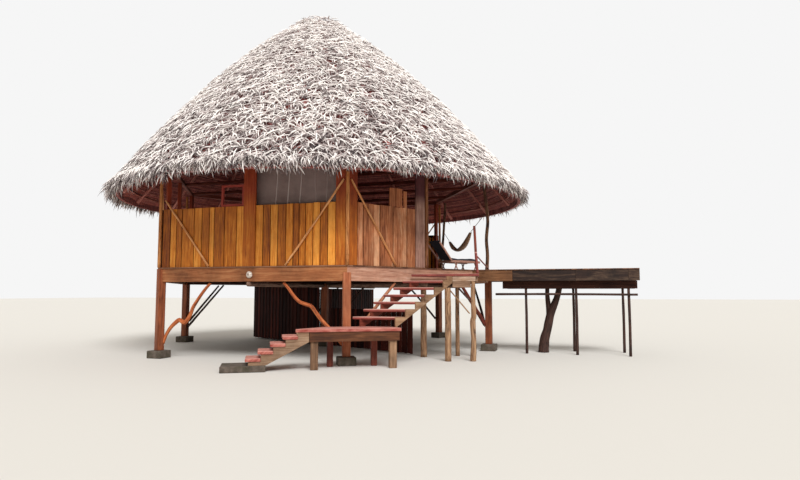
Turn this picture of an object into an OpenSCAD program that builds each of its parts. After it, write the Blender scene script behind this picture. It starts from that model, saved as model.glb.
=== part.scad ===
// Stilt house: a six-sided timber floor on posts, board walls round the room, an open veranda
// on the side of the walkway, a deep palm thatch roof on a pole frame, and a stair in two flights.
// Millimetres, Z up. X runs along the front wall, which faces -Y.
// The origin is the centre of the six-sided plan, on the ground.

/* [Plan and levels] */
// Radius of the floor's corners, which is also the length of a side
plan_r = 5500; // [5450:10:5550]
// Top of the floor boards above the ground
floor_z = 2420; // [2380:10:2460]
// Height of the wall boards above the floor
wall_h = 1590; // [1400:10:1800]
// Top of the wall posts, where the wall plates lie
plate_z = 5230; // [5150:10:5240]

/* [Floor frame] */
// Thickness of the floor boards
deck_t = 30; // [20:1:45]
// How far the floor boards stand out past the rim
deck_lip = 30; // [10:5:60]
// Depth of the rim boards
rim_d = 360; // [320:10:400]
// Thickness of the rim boards
rim_t = 45; // [30:1:60]
// Side of the square posts under the floor
post_w = 195; // [150:5:220]
// Side of the concrete footings
footing_w = 440; // [400:10:560]
// Height of the concrete footings
footing_h = 200; // [100:10:260]

/* [Walls] */
// Thickness of the wall boards
board_t = 30; // [20:1:34]
// How far the boards' faces stand back from the rim
board_back = 20; // [18:1:24]
// Side of the square posts in the walls
stud_w = 110; // [80:5:115]
// Width of the doorway between room and veranda
door_w = 950; // [800:10:1200]

/* [Roof] */
// Radius of the thatch at the eave
eave_r = 6515; // [6450:5:6600]
// Height of the thatch's outer edge at the eave
eave_z = 4750; // [4700:10:4800]
// Height of the top of the roof
apex_z = 11050; // [10900:10:11300]
// How far the top leans towards -X from the middle of the plan
apex_lean = 300; // [0:10:400]
// Radius of the rafter poles
rafter_r = 50; // [35:1:52]
// Radius of the ring poles that lie on the rafters
purlin_r = 25; // [15:1:28]

/* [Stairs] */
// Height of the landing's top
landing_z = 930; // [900:10:960]
// Going of the lower flight
lower_going = 270; // [265:1:290]
// Going of the upper flight along its stringers
upper_going = 331; // [320:1:340]
// Length of an upper tread
upper_tread_l = 1120; // [1000:10:1200]
// Thickness of a tread
tread_t = 65; // [50:1:75]
// Rise of the upper flight's treads
upper_rise = 178; // [170:1:186]

/* [Walkway] */
// Width of the walkway
walk_w = 1500; // [1300:10:1700]
// Distance from one pair of walkway posts to the next
walk_bay = 1400; // [1300:10:1600]
// Number of bays
walk_bays = 3; // [2:1:4]

/* [Hidden] */
$fn = 48;
rim_top = floor_z - deck_t;
rim_z = rim_top - rim_d;
sill_z = floor_z + wall_h;
apothem = plan_r * cos(30);
board_in = board_back + board_t;
side_mid = plan_r / 2;
pad_h = 140;
lower_rise = (landing_z - pad_h) / 5;
lower_tread_t = 75;
platform_z = floor_z - 186;

// The corners, counted round from +X
WALK = 0;
BACK_RIGHT = 1;
BACK = 2;
LEFT = 3;
FRONT_LEFT = 4;
FRONT = 5;

// Point on the circle of radius r at angle a
function polar(a, r) = [r * cos(a), r * sin(a)];
// Corner i of the plan at radius r
function corner(i, r) = polar(60 * i, r);
// A flat point with a height
function at(p, z) = [p.x, p.y, z];
// Point at side i: u along it from its first corner, b inward from the rim's face
function beside(i, u, b, z) =
    let (a = 60 * i + 120, c = corner(i, plan_r))
    [c.x + u * cos(a) - b * sin(a), c.y + u * sin(a) + b * cos(a), z];

// Straight round pole from p to q, with its own radius at the end where r_end is given
module pole(p, q, r, r_end = -1) {
    v = q - p;
    len = norm(v);
    translate(p)
        rotate([0, acos(v.z / len), atan2(v.y, v.x)])
            cylinder(r1 = r, r2 = r_end < 0 ? r : r_end, h = len);
}

// Level beam from p to q, w wide and d deep, with its top at z
module beam(p, q, w, d, z) {
    v = q - p;
    translate([p.x, p.y, z - d])
        rotate([0, 0, atan2(v.y, v.x)])
            translate([0, -w / 2, 0])
                cube([norm(v), w, d]);
}

// Children placed on side i: X from its first corner to the next, Y inward from the rim's face
module on_side(i) {
    translate(at(corner(i, plan_r), 0))
        rotate([0, 0, 60 * i + 120])
            children();
}

// Upright square post of side w at p, turned by angle a
module square_post(p, a, w, z0, z1) {
    translate([p.x, p.y, z0])
        rotate([0, 0, a])
            translate([-w / 2, -w / 2, 0])
                cube([w, w, z1 - z0]);
}

// Six-sided ring between two corner radii
module hex_ring(r_out, r_in, z, h) {
    translate([0, 0, z])
        linear_extrude(h)
            difference() {
                circle(r_out, $fn = 6);
                circle(r_in, $fn = 6);
            }
}

// Direction of a branch at its point i
function heading(pts, i) =
    let (n = len(pts), d = pts[min(i + 1, n - 1)] - pts[max(i - 1, 0)])
    d / norm(d);

// Ring of points round a branch at p, square to its direction d
function branch_ring(p, d, r, sides) =
    let (
        side = cross(d, abs(d.z) > 0.9 ? [1, 0, 0] : [0, 0, 1]),
        u = side / norm(side),
        v = cross(d, u)
    )
    [for (k = [0 : sides - 1]) p + r * (cos(360 * k / sides) * u + sin(360 * k / sides) * v)];

// Crooked branch along pts, with a radius for each point
module branch(pts, radii, sides = 9) {
    n = len(pts);
    flat = [for (i = [0 : n - 1]) each branch_ring(pts[i], heading(pts, i), radii[i], sides)];
    skin = [
        for (i = [0 : n - 2])
            for (k = [0 : sides - 1])
                let (a = i * sides + k, b = i * sides + (k + 1) % sides)
                each [[a, b + sides, b], [a, a + sides, b + sides]]
    ];
    foot = [for (k = [0 : sides - 1]) k];
    tip = [for (k = [0 : sides - 1]) n * sides - 1 - k];
    polyhedron(flat, concat(skin, [foot, tip]), convexity = 4);
}

// Under the floor

// The corner posts are notched over the rim's corners, and the front one ends below the floor boards
corner_post_r = plan_r - 70;
front_post_r = plan_r - 80;
front_post_z = 2240;

module footings() {
    color("darkgray") {
        for (i = [WALK : LEFT])
            square_post(corner(i, corner_post_r), 60 * i, footing_w, 0, footing_h);
        square_post(corner(FRONT_LEFT, corner_post_r), 0, footing_w, 0, footing_h);
        square_post(corner(FRONT, front_post_r), 60 * FRONT, footing_w, 0, footing_h);
        square_post([0, 0], 0, footing_w, 0, footing_h);
        at_landing()
            translate([-2890, -landing_front - 20, 0])
                cube([980, 760, pad_h]);
    }
}

// The posts at the corners. As a cutter they run over past the floor frame.
module corner_posts(over = 0) {
    for (i = [WALK : FRONT_LEFT])
        square_post(corner(i, corner_post_r), 60 * i, post_w, footing_h, rim_top + over);
    front_post();
}

module front_post() {
    square_post(corner(FRONT, front_post_r), 60 * FRONT, post_w, footing_h, front_post_z);
}

module floor_posts() {
    color("sienna") {
        square_post([0, 0], 0, post_w, footing_h, rim_z);
        corner_posts();
    }
}

bearer_w = 110;
bearer_d = 210;

module floor_bearers() {
    color("saddlebrown")
        difference() {
            union() {
                for (i = [WALK : FRONT])
                    beam([0, 0], corner(i, plan_r - 120), bearer_w, bearer_d, rim_z + bearer_d);
            }
            corner_posts(20);
        }
}

floor_pole_r = 65;

module floor_poles() {
    z = rim_z - floor_pole_r;
    color("tan")
        for (a = [-90, -30, 30, 90])
            pole(at(polar(a, 190), z), at(polar(a, apothem - 12), z), floor_pole_r);
}

joist_w = 50;
joist_pitch = 600;
joist_count = 7;

module floor_joists() {
    joist_d = rim_d - bearer_d;
    color("saddlebrown")
        for (k = [-joist_count : joist_count]) {
            y = k * joist_pitch;
            half = (apothem - rim_t - (abs(y) + joist_w / 2) / 2) / cos(30);
            if (abs(y) + joist_w < apothem - rim_t)
                difference() {
                    beam([-half, y], [half, y], joist_w, joist_d, rim_top);
                    corner_posts(20);
                }
        }
}

module rim_boards() {
    color("sienna")
        difference() {
            hex_ring(plan_r, plan_r - rim_t / cos(30), rim_z, rim_d);
            corner_posts(20);
        }
}

module floor_deck() {
    color("peru")
        translate([0, 0, rim_top])
            cylinder(r = plan_r + deck_lip / cos(30), h = deck_t, $fn = 6);
}

// Crooked brace beside a corner of side i. A step is its distance from the corner, height and depth.
module rim_branch(i, from_first, steps, radii) {
    branch([for (s = steps) beside(i, from_first ? s[0] : plan_r - s[0], s[2], s[1])], radii);
}

// Plain pole brace at the corners that show no crooked one
module straight_brace(i, from_first) {
    foot_u = from_first ? 240 : plan_r - 240;
    head_u = from_first ? 1260 : plan_r - 1260;
    pole(beside(i, foot_u, 150, 830), beside(i, head_u, 100, rim_z - 34), 40, 32);
}

module post_braces() {
    color("saddlebrown") {
        for (i = [WALK, BACK_RIGHT, BACK])
            straight_brace(i, true);
        for (i = [BACK_RIGHT, BACK])
            straight_brace(i, false);
        pole([155 - corner_post_r, 0, 580], [1540 - corner_post_r, 0, rim_z - 50], 40, 32);
        pole([140, 0, 520], [1440, 0, rim_z - 34], 40, 32);
    }
    color("chocolate") {
        rim_branch(FRONT_LEFT, true,
            [[208, 500, 138], [238, 640, 128], [320, 780, 112], [481, 929, 110], [624, 1010, 105],
             [772, 950, 102], [879, 1027, 100], [972, 1167, 98], [1043, 1342, 95], [1191, 1557, 90],
             [1402, 1820, 85], [1570, 1990, 80]],
            [38, 42, 48, 54, 56, 54, 50, 50, 48, 44, 40, 34]);
        rim_branch(FRONT_LEFT, false,
            [[225, 569, 150], [417, 772, 130], [604, 958, 110], [725, 1079, 100], [857, 1246, 90],
             [991, 1405, 80], [1128, 1451, 80], [1300, 1512, 80], [1476, 1661, 80], [1636, 1864, 80],
             [1760, 1990, 80]],
            [44, 46, 48, 48, 46, 48, 50, 46, 42, 38, 34]);
        rim_branch(FRONT, true,
            [[250, 640, 150], [620, 1000, 110], [1021, 1394, 100], [1181, 1550, 96], [1369, 1734, 90],
             [1526, 1885, 84], [1640, 1992, 80]],
            [44, 42, 40, 42, 38, 36, 32]);
        rim_branch(FRONT, false,
            [[240, 880, 152], [420, 1110, 130], [570, 1250, 115], [670, 1370, 108], [860, 1560, 104],
             [1060, 1780, 98], [1250, 1980, 92]],
            [56, 60, 58, 56, 50, 46, 40]);
    }
}

// Store of upright boards under the back of the floor, and a low wall towards the front
store_t = 30;
store_foot = 40;
store_top = rim_z - 10;
store_low_top = rim_z - 2 * floor_pole_r - 20;
store_out = apothem - 80;

module store_walls() {
    tall = store_top - store_foot;
    low = store_low_top - store_foot;
    back = corner(BACK, plan_r - 740);
    left_end = polar(150, store_out);
    right_end = polar(90, store_out);
    color("saddlebrown") {
        beam(polar(150, 320), left_end, store_t, tall, store_top);
        beam(right_end, polar(90, 320), store_t, low, store_low_top);
        beam(left_end + polar(110, 60), back + polar(240, 40), store_t, tall, store_top);
        beam(back + polar(0, 40), right_end + polar(130, 60), store_t, low, store_low_top);
        beam(polar(330, 340), polar(330, apothem - 560), store_t, 1200, store_foot + 1200);
    }
}

// Walls

// Board wall on side i from u0 to u1
module wall_slab(i, u0, u1, z0, z1) {
    on_side(i)
        translate([u0, board_back, z0])
            cube([u1 - u0, board_t, z1 - z0]);
}

corner_gap = 58;
corner_board_w = 270;
pilaster_w = 350;
pilaster_t = 36;
veranda_board_w = 330;

module front_wall() {
    color("peru")
        difference() {
            wall_slab(FRONT_LEFT, corner_gap, plan_r - corner_gap - corner_board_w, floor_z, sill_z);
            front_pilaster();
        }
}

module right_wall() {
    color("peru")
        difference() {
            wall_slab(FRONT, corner_gap + corner_board_w, side_mid - 70, floor_z, sill_z);
            veranda_board();
        }
}

module left_wall() {
    color("peru") wall_slab(LEFT, corner_gap, plan_r - corner_gap, floor_z, sill_z);
}

module back_left_wall() {
    color("peru") wall_slab(BACK, corner_gap, plan_r - corner_gap, floor_z, sill_z);
}

module back_wall() {
    color("peru") wall_slab(BACK_RIGHT, corner_gap, plan_r - corner_gap, floor_z, sill_z);
}

// The wall between room and veranda runs from the middle of side FRONT to the middle of side BACK_RIGHT
veranda_a = polar(330, apothem - 130);
veranda_b = polar(90, apothem - 130);
veranda_len = norm(veranda_b - veranda_a);
door_mid = veranda_len / 2;

// Children placed along the veranda wall, X from its front end to its back end
module on_veranda_wall() {
    translate(at(veranda_a, 0))
        rotate([0, 0, 120])
            children();
}

module veranda_wall() {
    door_edge = door_w / 2 + stud_w;
    color("peru")
        on_veranda_wall()
            for (s = [[150, door_mid - door_edge], [door_mid + door_edge, veranda_len - 150]])
                translate([s[0], -board_t / 2, floor_z])
                    cube([s[1] - s[0], board_t, wall_h]);
}

rail_w = 60;
rail_d = 80;
stud_r = plan_r - 200;

// Rails behind the boards, at the foot and under the sill
module wall_rails() {
    color("sienna")
        for (z = [floor_z, sill_z - rail_d - 6]) {
            for (i = [BACK_RIGHT : FRONT_LEFT])
                on_side(i)
                    for (u = [230, side_mid + 70])
                        translate([u, board_in, z])
                            cube([side_mid - 300, rail_w, rail_d]);
            on_side(FRONT)
                translate([230, board_in, z])
                    cube([side_mid - 400, rail_w, rail_d]);
        }
}

module wall_posts() {
    mid_r = apothem - board_in - stud_w / 2;
    color("sienna") {
        for (i = [BACK_RIGHT : FRONT])
            square_post(corner(i, stud_r), 60 * i, stud_w, floor_z, plate_z);
        for (i = [BACK_RIGHT : FRONT])
            square_post(polar(60 * i + 30, mid_r), 60 * i + 30, stud_w, floor_z, plate_z);
        on_veranda_wall()
            for (u = [door_mid - (door_w + stud_w) / 2, door_mid + (door_w + stud_w) / 2])
                square_post([u, 0], 0, stud_w, floor_z, plate_z);
    }
}

plate_w = 120;
plate_r = plan_r - 90;

// Ring of plates on the posts, with round tie beams across the room below it
module wall_plates() {
    ring_in = plate_r - plate_w / cos(30);
    tie_r = 60;
    color("sienna") {
        hex_ring(plate_r, ring_in, plate_z, plate_w);
        for (y = [-3400 : 1700 : 3400]) {
            half = (ring_in * cos(30) - abs(y) / 2) / cos(30) + 40;
            pole([-half, y, plate_z + tie_r], [half, y, plate_z + tie_r], tie_r - 4);
        }
    }
}

module front_pilaster() {
    on_side(FRONT_LEFT)
        translate([side_mid - pilaster_w / 2, board_in - pilaster_t - 24, floor_z])
            cube([pilaster_w, pilaster_t + 24, plate_z - floor_z]);
}

module veranda_board() {
    on_side(FRONT)
        translate([side_mid - 400, board_in - pilaster_t - 20, floor_z])
            cube([veranda_board_w, pilaster_t + 20, plate_z - floor_z]);
}

// Boards that pass the sill: a pilaster, the corner boards, the wall's end and three short ones
module tall_boards() {
    color("chocolate") {
        front_pilaster();
        veranda_board();
        wall_slab(FRONT_LEFT, plan_r - corner_gap - corner_board_w, plan_r - corner_gap, floor_z, plate_z);
        wall_slab(FRONT, corner_gap, corner_gap + corner_board_w, floor_z, plate_z);
        for (s = [[1407, 203, 490], [1636, 218, 505], [1900, 125, 450]])
            on_side(FRONT)
                translate([s[0], board_back, sill_z])
                    cube([s[1], board_t, s[2]]);
    }
}

// Thin diagonal pole on the face of side i, from u0 at the floor to u1 at the top
module face_brace(i, u0, u1, z1) {
    on_side(i)
        pole([u0, -6, floor_z + 14], [u1, -6, z1], 24, 21);
}

module face_poles() {
    color("tan") {
        for (i = [BACK_RIGHT : FRONT])
            pole(at(corner(i, plan_r + 2), floor_z), at(corner(i, plan_r + 2), plate_z - 20), 46, 40);
        on_side(FRONT)
            pole([side_mid - 12, board_back - 26, floor_z], [side_mid - 12, board_back - 26, plate_z], 52, 46);
    }
    color("burlywood") {
        face_brace(FRONT_LEFT, 1560, 150, 4250);
        face_brace(FRONT_LEFT, plan_r - 1690, plan_r - 100, 4560);
        face_brace(FRONT, 1610, 100, 4560);
        for (i = [BACK_RIGHT, BACK, LEFT]) {
            face_brace(i, 1600, 120, 4560);
            face_brace(i, plan_r - 1600, plan_r - 120, 4560);
        }
    }
}

window_w = 690;
window_h = 570;

module window_frame() {
    color("brown")
        on_side(FRONT_LEFT)
            translate([side_mid - pilaster_w / 2 - window_w - 4, board_back, sill_z])
                difference() {
                    cube([window_w, 60, window_h]);
                    translate([60, -10, 55])
                        cube([window_w - 120, 80, window_h - 115]);
                }
}

module curtain() {
    u0 = side_mid + stud_w / 2 + 7;
    color("silver")
        on_side(FRONT_LEFT)
            translate([u0, board_in + stud_w + 20, sill_z + 8])
                cube([plan_r - corner_gap - corner_board_w - u0 - 60, 12, plate_z - sill_z - 40]);
}

// Roof

// The rafters' axes: the foot at the eave, the knee where the pitch eases, and the tip
foot_r = 6300;
foot_z = 4600;
knee_r = 2300;
knee_z = 9100;
tip_r = 150;
tip_z = 10350;
lower_pitch = atan((knee_z - foot_z) / (foot_r - knee_r));

// How far the roof has leaned at height z
function lean(z) = -apex_lean * max(0, z - eave_z) / (apex_z - eave_z);
// Height of the rafters' axes at radius r
function rafter_z(r) = r > knee_r
    ? foot_z + (foot_r - r) * (knee_z - foot_z) / (foot_r - knee_r)
    : knee_z + (knee_r - r) * (tip_z - knee_z) / (knee_r - tip_r);
// Point of the roof frame at angle a and radius r
function frame_point(a, r) =
    let (z = rafter_z(r))
    [r * cos(a) + lean(z), r * sin(a), z];
// Radius of the thatch's outer face at height z
function thatch_r(z) =
    let (t = min(1, (z - eave_z) / (apex_z - eave_z)))
    t >= 1 ? 0 : eave_r * pow(1 - pow(t, 1.031), 1 / 1.325);

// Eighteen poles to the knee, six on to the tip, and the block that they meet at
module rafters() {
    color("saddlebrown") {
        for (a = [0 : 20 : 340])
            pole(frame_point(a, foot_r - 90), frame_point(a, knee_r + 90), rafter_r - 4, rafter_r - 10);
        for (a = [0 : 60 : 300])
            pole(frame_point(a, knee_r - 80), frame_point(a, 250), rafter_r - 8, rafter_r - 14);
        translate([lean(tip_z), 0, tip_z - 260])
            cylinder(r = 170, h = 330);
    }
}

// Ring of pole radius t at radius r, at a distance out of the rafters' axes
module roof_ring(r, off, t) {
    z = rafter_z(r) + off * cos(lower_pitch);
    translate([lean(z), 0, z])
        rotate_extrude()
            translate([r + off * sin(lower_pitch), 0])
                circle(t);
}

module ring_purlins() {
    color("sienna") {
        for (r = [6060, 5060, 4060, 3060])
            roof_ring(r, rafter_r + purlin_r, purlin_r);
        roof_ring(knee_r + 260, -rafter_r - 50, 50);
    }
}

// The thatch's section runs up its outer face, back down the inner one and round the drip edge
thatch_clear = 170;
cap_t = 0.88;
cap_z = eave_z + cap_t * (apex_z - eave_z);
cap_in_r = knee_r - (cap_z - thatch_clear - knee_z) * (knee_r - tip_r) / (tip_z - knee_z);
outer_face = [
    for (t = [0, 0.06, 0.22, 0.4, 0.58, 0.74, cap_t])
        let (z = eave_z + t * (apex_z - eave_z))
        [thatch_r(z), z]
];
inner_face = [for (r = [cap_in_r, knee_r, 4300, foot_r - 20]) [r, rafter_z(r) + thatch_clear]];
drip_edge = [[foot_r + 75, eave_z - 150], [eave_r - 30, eave_z - 150]];
thatch_section = concat(outer_face, inner_face, drip_edge);
sector_steps = 5;

// One sixth of the thatch, starting at corner i
module thatch_sector(i) {
    n = len(thatch_section);
    pts = [
        for (s = [0 : sector_steps])
            let (a = 60 * (i + s / sector_steps))
            for (q = thatch_section)
                [q[0] * cos(a) + lean(q[1]), q[0] * sin(a), q[1]]
    ];
    skin = [
        for (s = [0 : sector_steps - 1])
            for (k = [0 : n - 1])
                let (a = s * n + k, b = s * n + (k + 1) % n)
                each [[a, b, b + n], [a, b + n, a + n]]
    ];
    start = [for (k = [0 : n - 1]) n - 1 - k];
    end = [for (k = [0 : n - 1]) sector_steps * n + k];
    color("lightgray")
        polyhedron(pts, concat(skin, [start, end]), convexity = 6);
}

// The cap bulges a little past the curve of the sectors, so that its top is blunt
module thatch_cap() {
    outer = [
        for (q = [[cap_t, 0], [0.92, 50], [0.95, 120], [0.975, 220], [0.99, 240], [1, 0]])
            let (z = eave_z + q[0] * (apex_z - eave_z))
            [thatch_r(z) + q[1], z]
    ];
    color("lightgray")
        translate([lean(cap_z), 0, 0])
            rotate_extrude()
                polygon(concat([[0, rafter_z(tip_r) + thatch_clear + 60], [cap_in_r, cap_z]], outer));
}

// Veranda

module veranda_poles() {
    walk_top = rafter_z(plan_r - 180) - 90;
    color("tan") {
        branch([[5400, -20, floor_z], [5400, -20, floor_z + 50], [5416, -16, 2900], [5384, 6, 3400],
                [5430, 12, 3900], [5400, 0, 4400], [5352, -6, 4900], [5330, 0, walk_top]],
               [56, 56, 52, 50, 50, 48, 46, 44], 10);
        pole([2850, 4450, floor_z + 5], [3080, 4390, plate_z - 10], 52, 44);
    }
}

// Walkway

walk_end = plan_r + walk_bays * walk_bay;
walk_rim_d = 310;
walk_rim_t = 45;
walk_beam_y = 530;
walk_beam_x = plan_r + 440;
walk_beam_d = 220;

// Distance of walkway post pair k from the middle of the plan
function walk_x(k) = plan_r + k * walk_bay - 290;

// Strip of the walkway between y0 and y1, from the six-sided floor of radius r to the far end
module walk_strip(y0, y1, r) {
    difference() {
        translate([plan_r - 700, y0])
            square([walk_end - plan_r + 700, y1 - y0]);
        circle(r, $fn = 6);
    }
}

module walk_deck() {
    color("sienna")
        translate([0, 0, rim_top])
            linear_extrude(deck_t)
                walk_strip(-walk_w / 2, walk_w / 2, plan_r + deck_lip / cos(30));
}

// Rims with the fascia boards, cross joists between them, and a pair of beams on the posts
module walk_frame() {
    z = rim_top - walk_rim_d;
    side = walk_w / 2 - 20;
    color("sienna") {
        for (y = [-side, side - walk_rim_t])
            translate([0, 0, z])
                linear_extrude(walk_rim_d)
                    walk_strip(y, y + walk_rim_t, plan_r);
        for (k = [1 : walk_bays])
            translate([walk_x(k) - 30, walk_rim_t - side + 2, z])
                cube([60, 2 * (side - walk_rim_t) - 4, walk_rim_d]);
        for (y = [-walk_beam_y, walk_beam_y])
            translate([walk_beam_x, y - 30, z - walk_beam_d])
                cube([walk_end - 60 - walk_beam_x, 60, walk_beam_d - 2]);
        pole([plan_r + 240, -walk_beam_y - 74, 1700], [walk_end - 60, -walk_beam_y - 74, 1690], 33, 30);
    }
}

// Pairs of thin poles, the far one set back, and one forked trunk between them
module walk_posts() {
    top = rim_top - walk_rim_d - walk_beam_d;
    base = [plan_r + 1540, 0, 0];
    color("saddlebrown") {
        for (k = [1 : walk_bays]) {
            pole([walk_x(k), -walk_beam_y, 0], [walk_x(k), -walk_beam_y, top], 40, 36);
            pole([walk_x(k) - 106, walk_beam_y, 0], [walk_x(k) - 106, walk_beam_y, top], 40, 36);
        }
        union() {
            branch([base, base + [0, 0, 80], base + [20, 0, 250], base + [55, 0, 460],
                    base + [112, 0, 640], base + [162, 0, 883], base + [230, 0, 1160],
                    base + [407, 0, 1586], base + [500, 0, 1980], base + [545, 0, rim_top - 60],
                    base + [545, 0, rim_top]],
                   [160, 154, 142, 136, 132, 130, 118, 88, 82, 78, 78], 10);
            branch([base + [190, 0, 1000], base + [172, 10, 1250], base + [141, 0, 1642],
                    base + [148, 0, 2000], base + [155, 0, rim_top - 60], base + [155, 0, rim_top]],
                   [96, 76, 66, 62, 60, 60], 10);
        }
    }
}

// Landing and stairs

// Children placed at the front corner, with X along the landing and Y towards the house
module at_landing() {
    rotate([0, 0, 30])
        translate([0, -plan_r, 0])
            children();
}

landing_front = 850;
landing_top_t = 75;
landing_rim_z = 635;
landing_outline = [[-1270, -landing_front], [1170, -landing_front], [1010, -200],
                   [600, -30], [130, -62], [-550, -62]];

module landing() {
    color("firebrick")
        at_landing() {
            translate([0, 0, landing_z - landing_top_t])
                linear_extrude(landing_top_t)
                    polygon(landing_outline);
            translate([-950, -landing_front + 25, landing_rim_z])
                cube([2080, 42, landing_z - landing_top_t - landing_rim_z]);
        }
}

module landing_legs() {
    color("tan")
        at_landing()
            for (l = [[-835, -landing_front + 154, 170], [990, -landing_front + 154, 170],
                      [-420, -160, 140], [640, -160, 140]])
                translate([l[0] - l[2] / 2, l[1] - l[2] / 2, 0])
                    cube([l[2], l[2], landing_z - landing_top_t]);
}

lower_w = 740;
stringer_t = 45;
lower_first = -1277;
lower_nosing = 70;

module lower_flight() {
    back_x = lower_first + lower_nosing;
    teeth = [
        for (k = [1 : 4])
            let (z = landing_z - lower_rise * k - lower_tread_t)
            each [[back_x - lower_going * (k - 1), z], [back_x - lower_going * k, z]]
    ];
    side = concat(
        [[-960, landing_rim_z], [-960, landing_z - landing_top_t], [back_x, landing_z - landing_top_t]],
        teeth,
        [[back_x - 4 * lower_going, pad_h], [-1905, pad_h]]
    );
    at_landing() {
        color("burlywood")
            for (y = [-landing_front + 28, -landing_front + lower_w - stringer_t])
                translate([0, y + stringer_t, 0])
                    rotate([90, 0, 0])
                        linear_extrude(stringer_t)
                            polygon(side);
        color("firebrick")
            for (k = [1 : 4])
                translate([lower_first - lower_going * (5 - k), -landing_front, pad_h + lower_rise * k - lower_tread_t])
                    cube([lower_going + lower_nosing - 2, lower_w, lower_tread_t]);
    }
}

// The upper flight climbs beside the right wall, and its treads lie parallel to X
flight_dir = [cos(60), sin(60)];
flight_out = [cos(30), -sin(30)];
flight_start = corner(FRONT, plan_r) + 83 * flight_dir + 100 * flight_out;
flight_treads = 6;
stringer_w = stringer_t / sin(60);
// Height of tread k's top
function tread_z(k) = platform_z - (flight_treads + 1 - k) * upper_rise;

// The treads end at the inner face of the outer stringer
module upper_treads() {
    run = (upper_going + 20) * flight_dir;
    reach = [upper_tread_l - stringer_w, 0];
    color("firebrick")
        for (k = [1 : flight_treads]) {
            p = flight_start + (k - 1) * upper_going * flight_dir;
            translate([0, 0, tread_z(k) - tread_t])
                linear_extrude(tread_t)
                    polygon([p, p + reach, p + reach + run, p + run]);
        }
}

// Stringer with its near face shift along the first tread, and its saw teeth depth below the treads' tops
module stringer(shift, depth) {
    slope = upper_rise / upper_going;
    end_x = flight_treads * upper_going + 14;
    last_x = end_x - 190;
    foot_x = depth > 0 ? 130 : 20;
    teeth = [
        for (k = [1 : flight_treads])
            let (x = (k - 1) * upper_going + 20, z = tread_z(k) - depth)
            each [[x, z], [min(x + upper_going, depth > 0 ? end_x : last_x), z]]
    ];
    head = depth > 0 ? [] : [[last_x, platform_z - tread_t], [end_x, platform_z - tread_t]];
    side = concat(
        [[20, landing_z]], teeth, head,
        [[end_x, landing_z + (end_x - foot_x) * slope], [foot_x + 25, landing_z]]
    );
    translate(at(flight_start + [shift, 0], 0))
        rotate([0, 0, 60])
            rotate([90, 0, 0])
                linear_extrude(stringer_t)
                    polygon(side);
}

module upper_stringers() {
    color("burlywood") {
        stringer(upper_tread_l - stringer_w, 0);
        stringer(170, tread_t);
    }
}

platform_p = flight_start + flight_treads * upper_going * flight_dir;
platform_right = 5680;
platform_back = -1750;
platform_q = platform_p.x + (platform_back - platform_p.y) / tan(60);
platform_left = 4978;
platform_front_d = 295;

// The platform's outer end slants back towards the house, and a deep board closes its front
module platform() {
    top = platform_z - tread_t;
    low = top - platform_front_d;
    strip = top - 124;
    color("firebrick")
        translate([0, 0, top])
            linear_extrude(tread_t)
                polygon([platform_p, [platform_right, platform_p.y],
                         [platform_right - 230, platform_back], [platform_q, platform_back]]);
    color("tan") {
        translate([0, platform_p.y + 65, 0])
            rotate([90, 0, 0])
                linear_extrude(45)
                    polygon([[platform_left, low], [5453, low], [5453, strip], [5581, strip],
                             [5581, top], [platform_left, top]]);
        translate([platform_q + 60, platform_back - 65, top - 150])
            cube([platform_right - platform_q - 340, 45, 150]);
        beam([5608, platform_p.y + 78], [5412, platform_back - 78], 45, 124, top);
    }
}

// Round posts under the platform and the stringer, and one under the middle of the rim beside it
module natural_posts() {
    top = platform_z - tread_t - 150;
    front_y = platform_p.y + 55;
    back_y = platform_back - 43;
    mid = polar(330, apothem - 130);
    color("tan") {
        pole([4887, -3157, 0], [4887, -3157, 1848], 85, 78);
        branch([[5500, front_y, 0], [5500, front_y, 60], [5520, front_y, 500], [5492, front_y, 1000],
                [5528, front_y, 1150], [5506, front_y, 1600], [5518, front_y, 2000],
                [5518, front_y, 2043]],
               [74, 73, 68, 62, 68, 56, 52, 52], 10);
        pole([5300, back_y, 0], [5300, back_y, top], 62, 54);
        pole([platform_q + 240, back_y, 0], [platform_q + 240, back_y, top], 62, 54);
        pole(at(mid, 0), at(mid, rim_z - 2 * floor_pole_r), 90, 78);
        pole([4937, front_y - 60, 1784], [5405, front_y - 60, 1240], 18);
        pole([5155, front_y - 24, 1842], [5418, front_y - 24, 1560], 24);
    }
}

module newel() {
    p = [platform_right - 50, platform_p.y + 60];
    color("firebrick") {
        pole(at(p, platform_z + 4), at(p + [-110, 30], platform_z + 1240), 38, 32);
        pole(at(p + [-30, 90], platform_z + 460), [5470, -160, floor_z + 40], 20);
    }
}

// Small things

module lamp() {
    color("ivory")
        translate([40, -apothem, 2205])
            rotate([90, 0, 0]) {
                cylinder(r = 85, h = 38);
                translate([0, 0, 38])
                    cylinder(r1 = 66, r2 = 40, h = 34);
            }
}

// The lounger lies along the open edge of the veranda, its back towards the wall's end
lounger_u = 3600;
lounger_l = 1780;
lounger_b = 300;
lounger_w = 560;
seat_z = floor_z + 290;

module on_lounger() {
    on_side(FRONT)
        translate([lounger_u, lounger_b, 0])
            children();
}

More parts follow.
